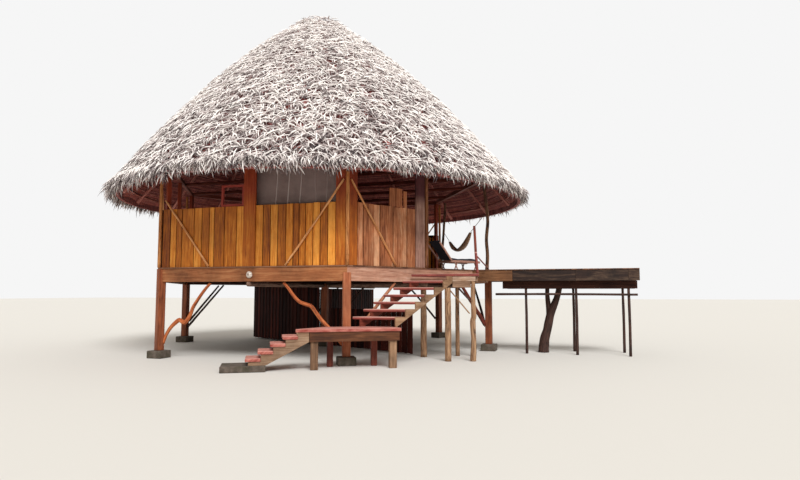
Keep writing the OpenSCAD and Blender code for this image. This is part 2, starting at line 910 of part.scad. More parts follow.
module lounger_frame() {
    color("rosybrown")
        on_lounger() {
            difference() {
                translate([480, 0, seat_z - 60])
                    cube([lounger_l - 480, lounger_w, 50]);
                translate([530, 50, seat_z - 70])
                    cube([lounger_l - 580, lounger_w - 100, 70]);
            }
            for (y = [0, lounger_w - 40]) {
                translate([0, y, 0])
                    rotate([-90, 0, 0])
                        linear_extrude(40)
                            polygon([for (q = [[500, seat_z - 60], [560, seat_z - 20], [30, floor_z + 800],
                                               [-20, floor_z + 770]]) [q[0], -q[1]]]);
                for (x = [700, lounger_l - 190])
                    for (lean_x = [-70, 70])
                        translate([x, y + 4, 0])
                            rotate([-90, 0, 0])
                                linear_extrude(32)
                                    polygon([for (q = [[lean_x - 16, floor_z], [lean_x + 16, floor_z],
                                                       [16 - lean_x, seat_z - 40], [-16 - lean_x, seat_z - 40]])
                                        [q[0], -q[1]]]);
            }
        }
}

module lounger_pad() {
    color("darkslategray")
        on_lounger()
            translate([0, 50, 0])
                rotate([-90, 0, 0])
                    linear_extrude(lounger_w - 100)
                        polygon([for (q = [[lounger_l - 20, seat_z], [lounger_l - 20, seat_z + 70],
                                           [590, seat_z + 70], [60, floor_z + 860], [0, floor_z + 826],
                                           [556, seat_z]]) [q[0], -q[1]]]);
}

// The hammock hangs between the two poles of the veranda, and its cords run to them
hammock_a = [3020, 4300, 4080];
hammock_b = [5300, 120, 4140];
cloth_from = 0.2;
cloth_to = 0.78;
hammock_w = 900;

function hammock_line(t) =
    let (p = hammock_a + t * (hammock_b - hammock_a), s = (t - 0.5) * 2)
    p - [0, 0, 860 * (1 - s * s)];

module hammock() {
    steps = 12;
    n = 7;
    along = hammock_b - hammock_a;
    side = [along.y, -along.x, 0] / norm([along.x, along.y]);
    rows = [
        for (i = [0 : steps])
            let (
                f = i / steps,
                t = cloth_from + f * (cloth_to - cloth_from),
                p = hammock_line(t),
                w = 40 + (hammock_w / 2 - 40) * sqrt(sin(180 * f))
            )
            [for (k = [0 : n - 1]) let (s = 2 * k / (n - 1) - 1) p + side * w * s + [0, 0, 260 * s * s * w / 450]]
    ];
    top = [for (row = rows) each row];
    low = [for (q = top) q - [0, 0, 18]];
    m = n * (steps + 1);
    faces = concat(
        [for (i = [0 : steps - 1]) for (k = [0 : n - 2]) let (a = i * n + k)
            each [[a, a + n + 1, a + 1], [a, a + n, a + n + 1]]],
        [for (i = [0 : steps - 1]) for (k = [0 : n - 2]) let (a = m + i * n + k)
            each [[a, a + 1, a + n + 1], [a, a + n + 1, a + n]]],
        [for (i = [0 : steps - 1]) let (a = i * n) each [[a, m + a, m + a + n], [a, m + a + n, a + n]]],
        [for (i = [0 : steps - 1]) let (a = i * n + n - 1) each [[a, a + n, m + a + n], [a, m + a + n, m + a]]],
        [for (k = [0 : n - 2]) each [[k, k + 1, m + k + 1], [k, m + k + 1, m + k]]],
        [for (k = [0 : n - 2]) let (a = steps * n + k) each [[a, m + a, m + a + 1], [a, m + a + 1, a + 1]]]
    );
    color("peru") {
        polyhedron(concat(top, low), faces, convexity = 4);
        pole(hammock_a, hammock_line(cloth_from - 0.004), 9);
        pole(hammock_line(cloth_to + 0.004), hammock_b, 9);
    }
}

footings();
floor_posts();
floor_bearers();
floor_poles();
floor_joists();
rim_boards();
floor_deck();
post_braces();
store_walls();
front_wall();
right_wall();
left_wall();
back_left_wall();
back_wall();
veranda_wall();
wall_rails();
wall_posts();
wall_plates();
tall_boards();
face_poles();
window_frame();
curtain();
rafters();
ring_purlins();
thatch_sector(WALK);  // thatch_walk_side
thatch_sector(BACK_RIGHT);  // thatch_back_right
thatch_sector(BACK);  // thatch_back_left
thatch_sector(LEFT);  // thatch_left
thatch_sector(FRONT_LEFT);  // thatch_front
thatch_sector(FRONT);  // thatch_right
thatch_cap();
veranda_poles();
walk_deck();
walk_frame();
walk_posts();
lower_flight();
landing();
landing_legs();
upper_stringers();
upper_treads();
platform();
natural_posts();
newel();
lamp();
lounger_frame();
lounger_pad();
hammock();
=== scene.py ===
"""Looks of the stilt house: boards, poles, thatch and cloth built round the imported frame.

Lengths are metres in the frame of the part: Z up, the origin under the middle of the plan.
"""

from __future__ import annotations

import logging
import math
import random
from collections.abc import Callable, Iterable, Sequence
from dataclasses import dataclass
from enum import Enum
from typing import Any

import bmesh
import bpy
from bmesh.types import BMesh, BMLoop, BMVert
from bpy.types import ID, Material, Mesh, Node, NodeSocket, NodeTree, Object
from mathutils import Matrix, Vector, noise

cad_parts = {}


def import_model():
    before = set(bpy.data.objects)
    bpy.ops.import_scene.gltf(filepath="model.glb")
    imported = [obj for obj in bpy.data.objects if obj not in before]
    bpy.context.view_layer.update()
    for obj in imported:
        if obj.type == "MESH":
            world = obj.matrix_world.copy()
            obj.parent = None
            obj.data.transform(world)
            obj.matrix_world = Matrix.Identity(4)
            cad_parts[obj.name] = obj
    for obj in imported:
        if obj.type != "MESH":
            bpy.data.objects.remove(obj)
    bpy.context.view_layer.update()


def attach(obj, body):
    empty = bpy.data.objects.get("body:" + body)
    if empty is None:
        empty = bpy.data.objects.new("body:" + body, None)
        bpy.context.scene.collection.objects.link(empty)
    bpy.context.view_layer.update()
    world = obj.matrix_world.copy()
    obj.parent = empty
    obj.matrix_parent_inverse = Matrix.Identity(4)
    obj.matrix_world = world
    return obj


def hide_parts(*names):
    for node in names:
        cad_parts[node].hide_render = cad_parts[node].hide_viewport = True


log = logging.getLogger("stilt_house")

UP = Vector((0.0, 0.0, 1.0))
ALONG_X = Vector((1.0, 0.0, 0.0))
SIDEWAYS, INWARD = (1, 0, 0), (0, 1, 0)
ROUND = 2 * math.pi
Point = Sequence[float]
Inputs = dict[Any, Any] | Sequence[Any]
Chart = Callable[[BMLoop], tuple[float, float]]


class Corner(Enum):
    """Corners of the plan, counted round from +X. A side has the name of its first corner."""

    WALK = 0
    BACK_RIGHT = 1
    BACK = 2
    LEFT = 3
    FRONT_LEFT = 4
    FRONT = 5


# Colour and nodes


def linear(code: str) -> tuple[float, float, float, float]:
    """Turns an sRGB hex colour into linear light.

    Args:
        code: The colour as "#rrggbb".

    Returns:
        Red, green, blue and an alpha of one.
    """
    shares = (int(code[i : i + 2], 16) / 255 for i in (1, 3, 5))
    red, green, blue = (c / 12.92 if c <= 0.04045 else ((c + 0.055) / 1.055) ** 2.4 for c in shares)
    return red, green, blue, 1.0


def feed(tree: NodeTree, node: Node, inputs: Inputs) -> None:
    """Sets a node's inputs, by name or in order: a socket is linked, a text is a hex colour, the rest are values."""
    for key, value in inputs.items() if isinstance(inputs, dict) else enumerate(inputs):
        if isinstance(value, NodeSocket):
            tree.links.new(value, node.inputs[key])
        else:
            node.inputs[key].default_value = linear(value) if isinstance(value, str) else value


def add_node(
    tree: NodeTree, kind: str, inputs: Inputs = (), out: int | str = 0,
    stops: Iterable[tuple[float, str]] = (), **settings: Any,
) -> NodeSocket | None:
    """Adds a shader node with its settings and links.

    Args:
        tree: The material's node tree.
        kind: Blender's name of the node type, after the word ShaderNode.
        inputs: What its inputs are fed, by their names or numbers, or in their order.
        out: Name or number of the output that is wanted.
        stops: A colour ramp's positions and hex colours.
        **settings: Properties of the node.

    Returns:
        The output, if the node has any.
    """
    node = tree.nodes.new("ShaderNode" + kind)
    for key, value in settings.items():
        setattr(node, key, value)
    marks = list(stops)
    if marks:
        ramp = node.color_ramp.elements
        while len(ramp) < len(marks):
            ramp.new(0.5)
        for element, (position, code) in zip(ramp, marks):
            element.position = position
            element.color = linear(code)
    feed(tree, node, inputs)
    return node.outputs[out] if len(node.outputs) else None


def new_material(title: str) -> tuple[Material, NodeTree, Node]:
    """Makes an empty material.

    Args:
        title: The material's name.

    Returns:
        The material, its node tree and its shader.
    """
    made = bpy.data.materials.new(title)
    made.use_nodes = True
    return made, made.node_tree, made.node_tree.nodes["Principled BSDF"]


def grain_of(tree: NodeTree, jump: float, axes: str = "XZ") -> tuple[NodeSocket, ...]:
    """Reads the layers that a piece has for its grain.

    Args:
        tree: The material's node tree.
        jump: How far the tone shifts the pattern, so that no two boards have the same.
        axes: The axes of the shift.

    Returns:
        The piece's grain map, its tone and the shift.
    """
    place = add_node(tree, "UVMap", uv_map="grain")
    tone = add_node(tree, "Attribute", out="Fac", attribute_name="tone")
    deep = add_node(tree, "Math", (tone, jump), operation="MULTIPLY")
    return place, tone, add_node(tree, "CombineXYZ", dict.fromkeys(axes, deep))


def coat(
    tree: NodeTree, shader: Node, colour: NodeSocket, roughness: Any,
    height: NodeSocket | None = None, strength: float = 1.0, relief: float = 0.0, **more: float,
) -> None:
    """Feeds the shader.

    Args:
        tree: The material's node tree.
        shader: Its shader.
        colour: What gives its colour.
        roughness: A number, or what gives it.
        height: What gives its relief.
        strength: How strong the relief is.
        relief: How deep it is.
        **more: Other inputs by their names, with _ for a space.
    """
    feed(tree, shader, {"Base Color": colour, "Roughness": roughness})
    feed(tree, shader, {key.replace("_", " "): value for key, value in more.items()})
    if height:
        bump = add_node(tree, "Bump", {"Height": height, "Strength": strength, "Distance": relief})
        feed(tree, shader, {"Normal": bump})


# Finishes


@dataclass(frozen=True)
class SawnTimber:
    """Sawn boards, oiled or left bare: streaks along the grain, tone that changes from board to board.

    The shades run from the dark late wood and stains to the pale early wood. Where there is a shade and stain tint, it
    comes in between the two heights of its rise: painted shade under the eave, and on the tall boards also the redder
    wood that the eave has kept from the sun.
    """

    title: str
    shades: tuple[str, str, str]
    figure_mm: float = 60.0
    spread: float = 0.5
    stain: float = 0.25
    gloss: float = 0.3
    roughness: float = 0.62
    shade_and_stain_tint: str = ""
    rise: tuple[float, float] = (0.0, 1.0)
    grain_mm: float = 11.0
    relief_mm: float = 1.2

    def material(self) -> Material:
        """Builds the timber: a wide figure and a finer grain, both drawn coarse enough to show."""
        made, tree, shader = new_material(self.title)
        place, tone, shift = grain_of(tree, 43.0)
        layers = []
        for scale, width, detail, bend in ((1.1, self.figure_mm, 4.0, 1.1), (4.5, self.grain_mm, 3.0, 0.5)):
            spot = add_node(tree, "VectorMath", (place, (scale, 1000 / width, 1.0), shift), operation="MULTIPLY_ADD")
            streak = {"Vector": spot, "Scale": 1.0, "Detail": detail, "Roughness": 0.6, "Distortion": bend}
            layers.append(add_node(tree, "TexNoise", streak))
        figure = add_node(tree, "Mix", {0: 0.35, 2: layers[0], 3: layers[1]})
        centred = add_node(tree, "Math", (tone, -0.5), operation="ADD")
        toned = add_node(tree, "Math", (centred, self.spread * 0.45, figure), operation="MULTIPLY_ADD")
        ramp = add_node(tree, "ValToRGB", {"Fac": toned}, stops=zip((0.3, 0.5, 0.7), self.shades))
        spot = add_node(tree, "TexCoord", out="Object")
        patch = add_node(tree, "TexNoise", {"Vector": spot, "Scale": 1.4, "Detail": 5.0, "Roughness": 0.65})
        mark = add_node(tree, "MapRange", (patch, 0.35, 0.62, 1 - self.stain, 1.08))
        spread = add_node(tree, "MapRange", (tone, 0, 1, 1 - 0.3 * self.spread, 1 + 0.25 * self.spread))
        value = add_node(tree, "Math", (mark, spread), operation="MULTIPLY")
        colour = add_node(tree, "HueSaturation", {"Color": ramp, "Value": value})
        # Painted shade under the eave: the colour is multiplied by the tint between the two heights of the rise.
        if self.shade_and_stain_tint:
            height = add_node(tree, "SeparateXYZ", {0: spot}, "Z")
            rise = add_node(tree, "MapRange", (height, *self.rise))
            shades = {"Factor": rise, "A": colour, "B": self.shade_and_stain_tint}
            colour = add_node(tree, "Mix", shades, "Result", data_type="RGBA", blend_type="MULTIPLY")
        rough = add_node(tree, "MapRange", (figure, 0, 1, self.roughness + 0.12, self.roughness - 0.1))
        coat(tree, shader, colour, rough, figure, 0.8, self.relief_mm / 1000, Specular_IOR_Level=self.gloss)
        return made


@dataclass(frozen=True)
class PaintedTimber:
    """Boards under worn red paint: chalky pink on their upward faces, as wear where people tread and as painted
    highlight, with bare wood and dirt in patches.
    """

    title: str
    paint: str
    faded: str
    bare: str
    trodden_highlight: float = 0.6
    wear: float = 0.5
    highlight_chalk: str = "#e6b4a6"

    def material(self) -> Material:
        """Builds the paint, its faded patches and the bare streaks that follow the grain."""
        made, tree, shader = new_material(self.title)
        place, _, shift = grain_of(tree, 29.0, "XY")
        layers = []
        for scale in ((3.0, 9.0, 1.0), (7.0, 60.0, 1.0)):
            spot = add_node(tree, "VectorMath", (place, scale, shift), operation="MULTIPLY_ADD")
            layers.append(add_node(tree, "TexNoise", {"Vector": spot, "Scale": 1.0, "Detail": 6.0, "Roughness": 0.68}))
        faded, chipped = layers
        pink = add_node(tree, "MapRange", (faded, 0.38, 0.62))
        red = add_node(tree, "Mix", {"Factor": pink, "A": self.paint, "B": self.faded}, "Result", data_type="RGBA")
        # Upward faces and nosings are paler: wear where people tread, and a painted highlight where light falls on the
        # tops.
        normal = add_node(tree, "NewGeometry", out="Normal")
        height = add_node(tree, "SeparateXYZ", {0: normal}, "Z")
        wear_and_highlight = add_node(tree, "MapRange", (height, 0.3, 0.6, 0, self.trodden_highlight))
        red = add_node(tree, "Mix", {"Factor": wear_and_highlight, "A": red, "B": self.highlight_chalk}, "Result", data_type="RGBA")
        chip = add_node(tree, "MapRange", (chipped, 0.72 - 0.22 * self.wear, 0.76 - 0.2 * self.wear, 0, 0.75))
        rough = add_node(tree, "MapRange", (faded, 0, 1, 0.5, 0.8))
        red = add_node(tree, "Mix", {"Factor": chip, "A": red, "B": self.bare}, "Result", data_type="RGBA")
        coat(tree, shader, red, rough, chipped, 0.6, 0.0015)
        return made


@dataclass(frozen=True)
class PeeledPole:
    """Round wood with its bark peeled off: long fibres, dark knots and a few rests of bark."""

    title: str
    wood: str
    pale: str
    bark: str
    bark_share: float = 0.3

    def material(self) -> Material:
        """Builds the fibres from a stretched noise and the knots from cells."""
        made, tree, shader = new_material(self.title)
        place, _, shift = grain_of(tree, 31.0)
        fibres, patches, cells = (
            add_node(tree, "VectorMath", (place, scale, shift), operation="MULTIPLY_ADD")
            for scale in ((3.0, 60.0, 1.0), (3.2, 9.0, 1.0), (3.5, 9.0, 1.0))
        )
        fibre = add_node(tree, "TexNoise", {"Vector": fibres, "Scale": 1.0, "Detail": 3.0, "Distortion": 0.6})
        bark = add_node(tree, "TexNoise", {"Vector": patches, "Scale": 1.0, "Detail": 6.0, "Roughness": 0.7})
        knot = add_node(tree, "TexVoronoi", {"Vector": cells, "Scale": 1.0})
        shades = zip((0.32, 0.48, 0.68), (self.bark, self.wood, self.pale))
        wood = add_node(tree, "ValToRGB", {"Fac": fibre}, stops=shades)
        rest = add_node(tree, "MapRange", (bark, 0.66 - 0.3 * self.bark_share, 0.72 - 0.28 * self.bark_share, 0, 0.85))
        dark = add_node(tree, "MapRange", (knot, 0.06, 0.13, 0.8, 0.0))
        both = add_node(tree, "Math", (rest, dark), operation="MAXIMUM")
        height = add_node(tree, "Math", (rest, 0.6, fibre), operation="MULTIPLY_ADD")
        wood = add_node(tree, "Mix", {"Factor": both, "A": wood, "B": self.bark}, "Result", data_type="RGBA")
        coat(tree, shader, wood, 0.74, height, 0.8, 0.004, Specular_IOR_Level=0.3)
        return made


@dataclass(frozen=True)
class PalmLeaf:
    """Dry palm leaf strips, bleached by the sun: ribbed along their length, grey to pinkish white."""

    title: str
    shades: tuple[str, str, str]

    def material(self) -> Material:
        """Builds the strips: each has its own tone, darker spots and fine ribs, and they are painted lighter towards
        the top of the roof as painted light.
        """
        made, tree, shader = new_material(self.title)
        place, tone, shift = grain_of(tree, 53.0)
        spot = add_node(tree, "VectorMath", (place, (5.0, 90.0, 1.0), shift), operation="MULTIPLY_ADD")
        rib = add_node(tree, "TexNoise", {"Vector": spot, "Scale": 1.0, "Detail": 3.0})
        where = add_node(tree, "TexCoord", out="Object")
        patch = add_node(tree, "TexNoise", {"Vector": where, "Scale": 0.9, "Detail": 4.0, "Roughness": 0.6})
        mixed = add_node(tree, "Math", (rib, 0.35), operation="MULTIPLY")
        for cause, share in ((tone, 0.7), (patch, 0.4)):
            mixed = add_node(tree, "Math", (cause, share, mixed), operation="MULTIPLY_ADD")
        # Painted light: the strips are made paler from the eave up to the top, where the sun falls most.
        height = add_node(tree, "SeparateXYZ", {0: where}, "Z")
        painted_top_light = add_node(tree, "MapRange", (height, 5.0, 10.5, 0.0, 0.13))
        mixed = add_node(tree, "Math", (painted_top_light, mixed), operation="ADD")
        colour = add_node(tree, "ValToRGB", {"Fac": mixed}, stops=zip((0.45, 0.67, 0.9), self.shades))
        coat(tree, shader, colour, 0.68, rib, 0.5, 0.001)
        return made


@dataclass(frozen=True)
class ThatchBed:
    """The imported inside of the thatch: leaf butts that run down the slope, darker at each course."""

    title: str
    dark: str
    brown: str

    def material(self) -> Material:
        """Builds the streaks down the slope, and a shadow every course of 130 mm."""
        made, tree, shader = new_material(self.title)
        place = add_node(tree, "UVMap", uv_map="grain")
        spot = add_node(tree, "VectorMath", (place, (3.0, 38.0, 1.0)), operation="MULTIPLY")
        streak = add_node(tree, "TexNoise", {"Vector": spot, "Scale": 1.0, "Detail": 4.0, "Roughness": 0.7})
        saw = {"Vector": place, "Scale": 1.22, "Distortion": 2.0, "Detail": 2.0}
        course = add_node(tree, "TexWave", saw, "Fac", wave_profile="SAW")
        mixed = add_node(tree, "Math", (course, 0.22, streak), operation="MULTIPLY_ADD")
        colour = add_node(tree, "ValToRGB", {"Fac": mixed}, stops=((0.4, self.dark), (0.8, self.brown)))
        coat(tree, shader, colour, 0.9, mixed, 1.0, 0.02)
        return made


@dataclass(frozen=True)
class CastConcrete:
    """Concrete cast in rough boards: grey, pitted, with moss in its shade."""

    title: str
    grey: str
    pale: str
    moss: str

    def material(self) -> Material:
        """Builds the cement, pits of a few millimetres and patches of moss."""
        made, tree, shader = new_material(self.title)
        spot = add_node(tree, "TexCoord", out="Object")
        cloud = add_node(tree, "TexNoise", {"Vector": spot, "Scale": 7.0, "Detail": 8.0, "Roughness": 0.7})
        pit = add_node(tree, "TexVoronoi", {"Vector": spot, "Scale": 60.0})
        damp = add_node(tree, "TexNoise", {"Vector": spot, "Scale": 2.6, "Detail": 6.0, "Roughness": 0.7})
        cement = add_node(tree, "ValToRGB", {"Fac": cloud}, stops=((0.35, self.grey), (0.65, self.pale)))
        mossy = add_node(tree, "MapRange", (damp, 0.42, 0.6, 0, 0.8))
        colour = add_node(tree, "Mix", {"Factor": mossy, "A": cement, "B": self.moss}, "Result", data_type="RGBA")
        pitted = add_node(tree, "Math", (pit, 0.4, cloud), operation="MULTIPLY_ADD")
        coat(tree, shader, colour, 0.92, pitted, 0.9, 0.006)
        return made


@dataclass(frozen=True)
class WovenCloth:
    """Plain woven cloth: threads both ways, drawn coarse enough to show, and stripes where it has them."""

    title: str
    thread: str
    shade: str
    stripe: str
    wear_and_highlight: str
    thread_mm: float = 4.0
    stripe_mm: float = 0.0

    def material(self) -> Material:
        """Builds the weave from two waves across each other on the cloth's own map."""
        made, tree, shader = new_material(self.title)
        place = add_node(tree, "UVMap", uv_map="grain")
        thread = {"Vector": place, "Scale": 1000 / self.thread_mm / 20, "Distortion": 0.6, "Detail": 1.0}
        waves = [add_node(tree, "TexWave", thread, "Fac", bands_direction=way) for way in ("X", "Y")]
        weave = add_node(tree, "Math", waves, operation="MAXIMUM")
        spot = add_node(tree, "TexCoord", out="Object")
        fade = add_node(tree, "TexNoise", {"Vector": spot, "Scale": 3.0, "Detail": 5.0})
        mixed = add_node(tree, "Math", (weave, 0.5, fade), operation="MULTIPLY_ADD")
        cloth = add_node(tree, "ValToRGB", {"Fac": mixed}, stops=((0.45, self.shade), (0.95, self.thread)))
        if self.stripe_mm:
            stripe = {"Vector": place, "Scale": 1000 / self.stripe_mm / 20, "Distortion": 0.3}
            band = add_node(tree, "TexWave", stripe, "Fac", bands_direction="Y")
            mark = add_node(tree, "MapRange", (band, 0.55, 0.7))
            cloth = add_node(tree, "Mix", {"Factor": mark, "A": cloth, "B": self.stripe}, "Result", data_type="RGBA")
        # Creases take the paler colour: a painted highlight along the folds.
        crease = add_node(tree, "Attribute", out="Fac", attribute_name="crease")
        cloth = add_node(tree, "Mix", {"Factor": crease, "A": cloth, "B": self.wear_and_highlight}, "Result", data_type="RGBA")
        coat(tree, shader, cloth, 0.85, weave, 0.5, 0.0015, Sheen_Weight=0.15)
        return made


@dataclass(frozen=True)
class MouldedDiffuser:
    """Moulded milky plastic of a lamp, yellowed, with dust in its corners."""

    title: str
    milk: str
    dust: str

    def material(self) -> Material:
        """Builds the plastic with a faint cloud of dust."""
        made, tree, shader = new_material(self.title)
        spot = add_node(tree, "TexCoord", out="Object")
        dust = add_node(tree, "TexNoise", {"Vector": spot, "Scale": 22.0, "Detail": 6.0})
        colour = add_node(tree, "ValToRGB", {"Fac": dust}, stops=((0.35, self.dust), (0.6, self.milk)))
        coat(tree, shader, colour, 0.35, IOR=1.49)
        return made


Finish = SawnTimber | PaintedTimber | PeeledPole | PalmLeaf | ThatchBed | CastConcrete | WovenCloth | MouldedDiffuser

# Oiled hardwood cladding: orange-brown with dark streaks, redder on the right
WALL_BOARDS = SawnTimber("oiled_cladding", ("#6e3006", "#b66612", "#d8923c"), 55, 0.7, 0.18, roughness=0.55)
RIGHT_BOARDS = SawnTimber("oiled_cladding_red", ("#643018", "#b46e44", "#dca67e"), 70, 0.8, 0.3)
# Stained hardwood: red-brown, nearly even
RED_BOARDS = SawnTimber("stained_boards", ("#661e0e", "#8e3618", "#a84c26"), 80, 0.5, 0.2)
# Brown below, redder towards the eave: painted shade under the eave, with weathering.
TALL_BOARDS = SawnTimber(
    "oiled_corner_boards", ("#7c3a08", "#aa5a14", "#c47c2c"), 70, 0.4, 0.2, shade_and_stain_tint="#d6a2ff", rise=(3.6, 4.4)
)
WINDOW_TIMBER = SawnTimber("stained_window", ("#5e201a", "#8e3428", "#a84436"), 60, 0.4, 0.2)
BEAM_TIMBER = SawnTimber("stained_beams", ("#46201a", "#71362a", "#8f4e40"), 60, 0.4, 0.3, 0.1)
RIM_TIMBER = SawnTimber("stained_rim", ("#6e3a1e", "#9a5e38", "#b47e54"), 90, 0.6, 0.4)
PINK_RIM = SawnTimber("bleached_rim", ("#8c5c48", "#bc8c74", "#d6b09c"), 90, 0.5, 0.25)
POST_TIMBER = SawnTimber("stained_posts", ("#5b2913", "#94502f", "#af6e4b"), 70, 0.5, 0.3)
# On the upper flight's left stringer this dark finish is painted shade beneath the treads.
LEG_TIMBER = SawnTimber("stained_legs", ("#4a1a12", "#783626", "#95503c"), 60, 0.4, 0.3)
# Weathered hardwood: grey and purplish; the shaded board and the far walkway sides are dark as painted shade, the
# walkway sides also mottled
# Darker towards its head: painted shade under the eave.
GREY_BOARD = SawnTimber(
    "weathered_board", ("#7a5446", "#a88070", "#ccaa9c"), 45, 0.3, 0.3, shade_and_stain_tint="#845c6e", rise=(4.08, 4.42)
)
SHADED_BOARD = SawnTimber("shaded_board", ("#33171a", "#552a2c", "#6c3a38"), 45, 0.3, 0.3)
SHADED_MOTTLED_TIMBER = SawnTimber("shaded_mottled_fascia", ("#160c08", "#2e1c15", "#66503f"), 110, 0.4, 0.5)
FRAME_TIMBER = SawnTimber("platform_boards", ("#6a4a36", "#a8846a", "#dcc2ac"), 60, 0.8, 0.4)
FASCIA_TIMBER = SawnTimber("weathered_stringer", ("#573c2a", "#7f6048", "#9c8068"), 70, 0.5, 0.35)
LANDING_TIMBER = SawnTimber("landing_fascia", ("#34190c", "#5e341a", "#865434"), 70, 0.6, 0.4)
LIGHT_SIDE = SawnTimber("walkway_side", ("#4c2f1b", "#7c5233", "#976f4c"), 80, 0.4, 0.35)
# Rough-sawn softwood: dull, dark under the house and pale where it is bare
DARK_TIMBER = SawnTimber("rough_sawn_dark", ("#241210", "#40241a", "#5c3a2c"), 60, 0.5, 0.3, 0.1)
STORE_BOARDS = SawnTimber("store_boards", ("#1a0806", "#36140e", "#55241a"), 40, 0.8, 0.3, 0.05)
FLOOR_BOARDS = SawnTimber("worn_floor", ("#3f2519", "#684330", "#8a6248"), 60, 0.6, 0.3)
PALE_TIMBER = SawnTimber("bare_timber", ("#6a4a34", "#9c785a", "#c09e82"), 60, 0.6, 0.4)
BARE_RED = SawnTimber("bare_lounger", ("#9c6858", "#d09a88", "#ecc4b4"), 40, 0.4)
# Oil paint on boards: dull red, faded to pink
RED_PAINT = PaintedTimber("worn_red_paint", "#8a3024", "#bc7264", "#a8866e", 0.35, 0.6)
DARK_PAINT = PaintedTimber("dark_red_paint", "#64201a", "#94463c", "#a8866e")
# Peeled trunks and branches: silky fibres, from fresh yellow to stained red and weathered black
PEELED = PeeledPole("peeled_pole", "#967052", "#b89776", "#463022", 0.3)
LIGHT_POLE = PeeledPole("light_pole", "#cc8a54", "#e6b480", "#96603a", 0.1)
CORNER_POLE = PeeledPole("corner_pole", "#b4703a", "#d09860", "#6a4020", 0.15)
WALL_END_POLE = PeeledPole("wall_end_pole", "#7c4c30", "#a8764e", "#43261a", 0.2)
VERANDA_POLE = PeeledPole("veranda_pole", "#6e4a34", "#a88262", "#241510", 0.5)
FLOOR_POLE = PeeledPole("floor_pole", "#7d5f50", "#a08474", "#3d2a22", 0.2)
ROOF_POLE = PeeledPole("roof_pole", "#b87066", "#dc9c8e", "#643430", 0.1)
STAINED_BRANCH = PeeledPole("stained_branch", "#b05a2e", "#cc7e4c", "#5a2a18", 0.2)
PALE_BRANCH = PeeledPole("pale_branch", "#a9694a", "#c88d6c", "#6a3d2a", 0.15)
RED_BRANCH = PeeledPole("red_branch", "#6b2c20", "#8a4636", "#37160f", 0.25)
DARK_BRANCH = PeeledPole("dark_branch", "#3a2620", "#56392f", "#1f1411", 0.3)
# Palm leaf: bleached outside, red-brown where the thatch is packed
LEAVES = PalmLeaf("palm_leaves", ("#382a2c", "#b4a6a4", "#fffaf6"))
BED = ThatchBed("thatch_inside", "#5c282c", "#bc6c64")
CONCRETE = CastConcrete("cast_concrete", "#463c34", "#6e6258", "#3c3828")
# Cotton and netting: matt, with a faint sheen
SCREEN = WovenCloth("grey_screen", "#867470", "#5c4a45", "#5c4a45", "#e8dcd8", 5.0)
HAMMOCK_CLOTH = WovenCloth("hammock_cloth", "#ae8460", "#654632", "#4a2f26", "#c8a888", 12.0, 150.0)
DARK_CLOTH = WovenCloth("dark_cushion", "#2b3140", "#161a24", "#161a24", "#3c4454", 4.0)
# Moulded polystyrene: milky and smooth
MILKY = MouldedDiffuser("milky_plastic", "#f4ece2", "#b8aa9c")
BOSS = MouldedDiffuser("lamp_boss_plastic", "#a08c86", "#6e5a54")

_made: dict[str, Material] = {}


def dressed(finish: Finish) -> Material:
    """Returns the finish's material, built once."""
    if finish.title not in _made:
        _made[finish.title] = finish.material()
    return _made[finish.title]


# Pieces


def moved(x: float, y: float, z: float) -> Matrix:
    """Matrix that moves."""
    return Matrix.Translation((x, y, z))


def turned(degrees: float, axis: str = "Z") -> Matrix:
    """Matrix that turns round an axis."""
    return Matrix.Rotation(math.radians(degrees), 4, axis)


def framed(x: Vector, y: Vector, z: Vector) -> Matrix:
    """Matrix with these three directions as its axes."""
    return Matrix((x, y, z)).transposed().to_4x4()


def spin_to(start: Vector, end: Vector, across: Vector) -> Matrix:
    """Places a board between two points.

    Args:
        start: Middle of its first end.
        end: Middle of its other end.
        across: The direction of its width.

    Returns:
        Matrix whose X runs from start to end and whose Y lies towards across.
    """
    x = (end - start).normalized()
    z = x.cross(across).normalized()
    return Matrix.Translation((start + end) / 2) @ framed(x, z.cross(x), z)


def blank() -> BMesh:
    """A new mesh that already has the layers for tone and grain."""
    part = bmesh.new()
    part.verts.layers.float.new("tone")
    part.loops.layers.uv.new("grain")
    return part


def block(size: Point, ease: float) -> BMesh:
    """A box about the origin.

    Args:
        size: Its three sizes.
        ease: Width of the bevel on its edges.

    Returns:
        The box.
    """
    part = blank()
    bmesh.ops.create_cube(part, size=1.0)
    bmesh.ops.scale(part, vec=size, verts=part.verts)
    if ease:
        soften(part, ease)
    return part


def lathe(part: BMesh, line: Sequence[Point], steps: int, merge: float) -> None:
    """Spins a line into a closed form round Z.

    Args:
        part: The mesh that the form goes into.
        line: Pairs of radius and height.
        steps: Faces round it.
        merge: How near two vertices are joined.
    """
    ring = [part.verts.new((r, 0, z)) for r, z in line]
    edges = [part.edges.new(pair) for pair in zip(ring, ring[1:])]
    bmesh.ops.spin(part, geom=[*ring, *edges], cent=(0, 0, 0), axis=UP, angle=ROUND, steps=steps, use_merge=True)
    bmesh.ops.remove_doubles(part, verts=part.verts, dist=merge)
    bmesh.ops.recalc_face_normals(part, faces=part.faces)


def hoop(reach: float, centre: Vector, sides: int, radius: float, steps: int) -> BMesh:
    """A ring of round wood.

    Args:
        reach: Radius of the ring.
        centre: Its middle.
        sides: Faces round the wood.
        radius: The wood's radius.
        steps: Spans round the ring.

    Returns:
        The ring.
    """
    part = blank()
    place = Matrix.Translation(centre + Vector((reach, 0, 0))) @ turned(90, "X")
    made = bmesh.ops.create_circle(part, segments=sides, radius=radius, matrix=place)["verts"]
    edges = list({e for v in made for e in v.link_edges})
    bmesh.ops.spin(part, geom=made + edges, cent=centre, axis=UP, angle=ROUND, steps=steps, use_merge=True)
    return part


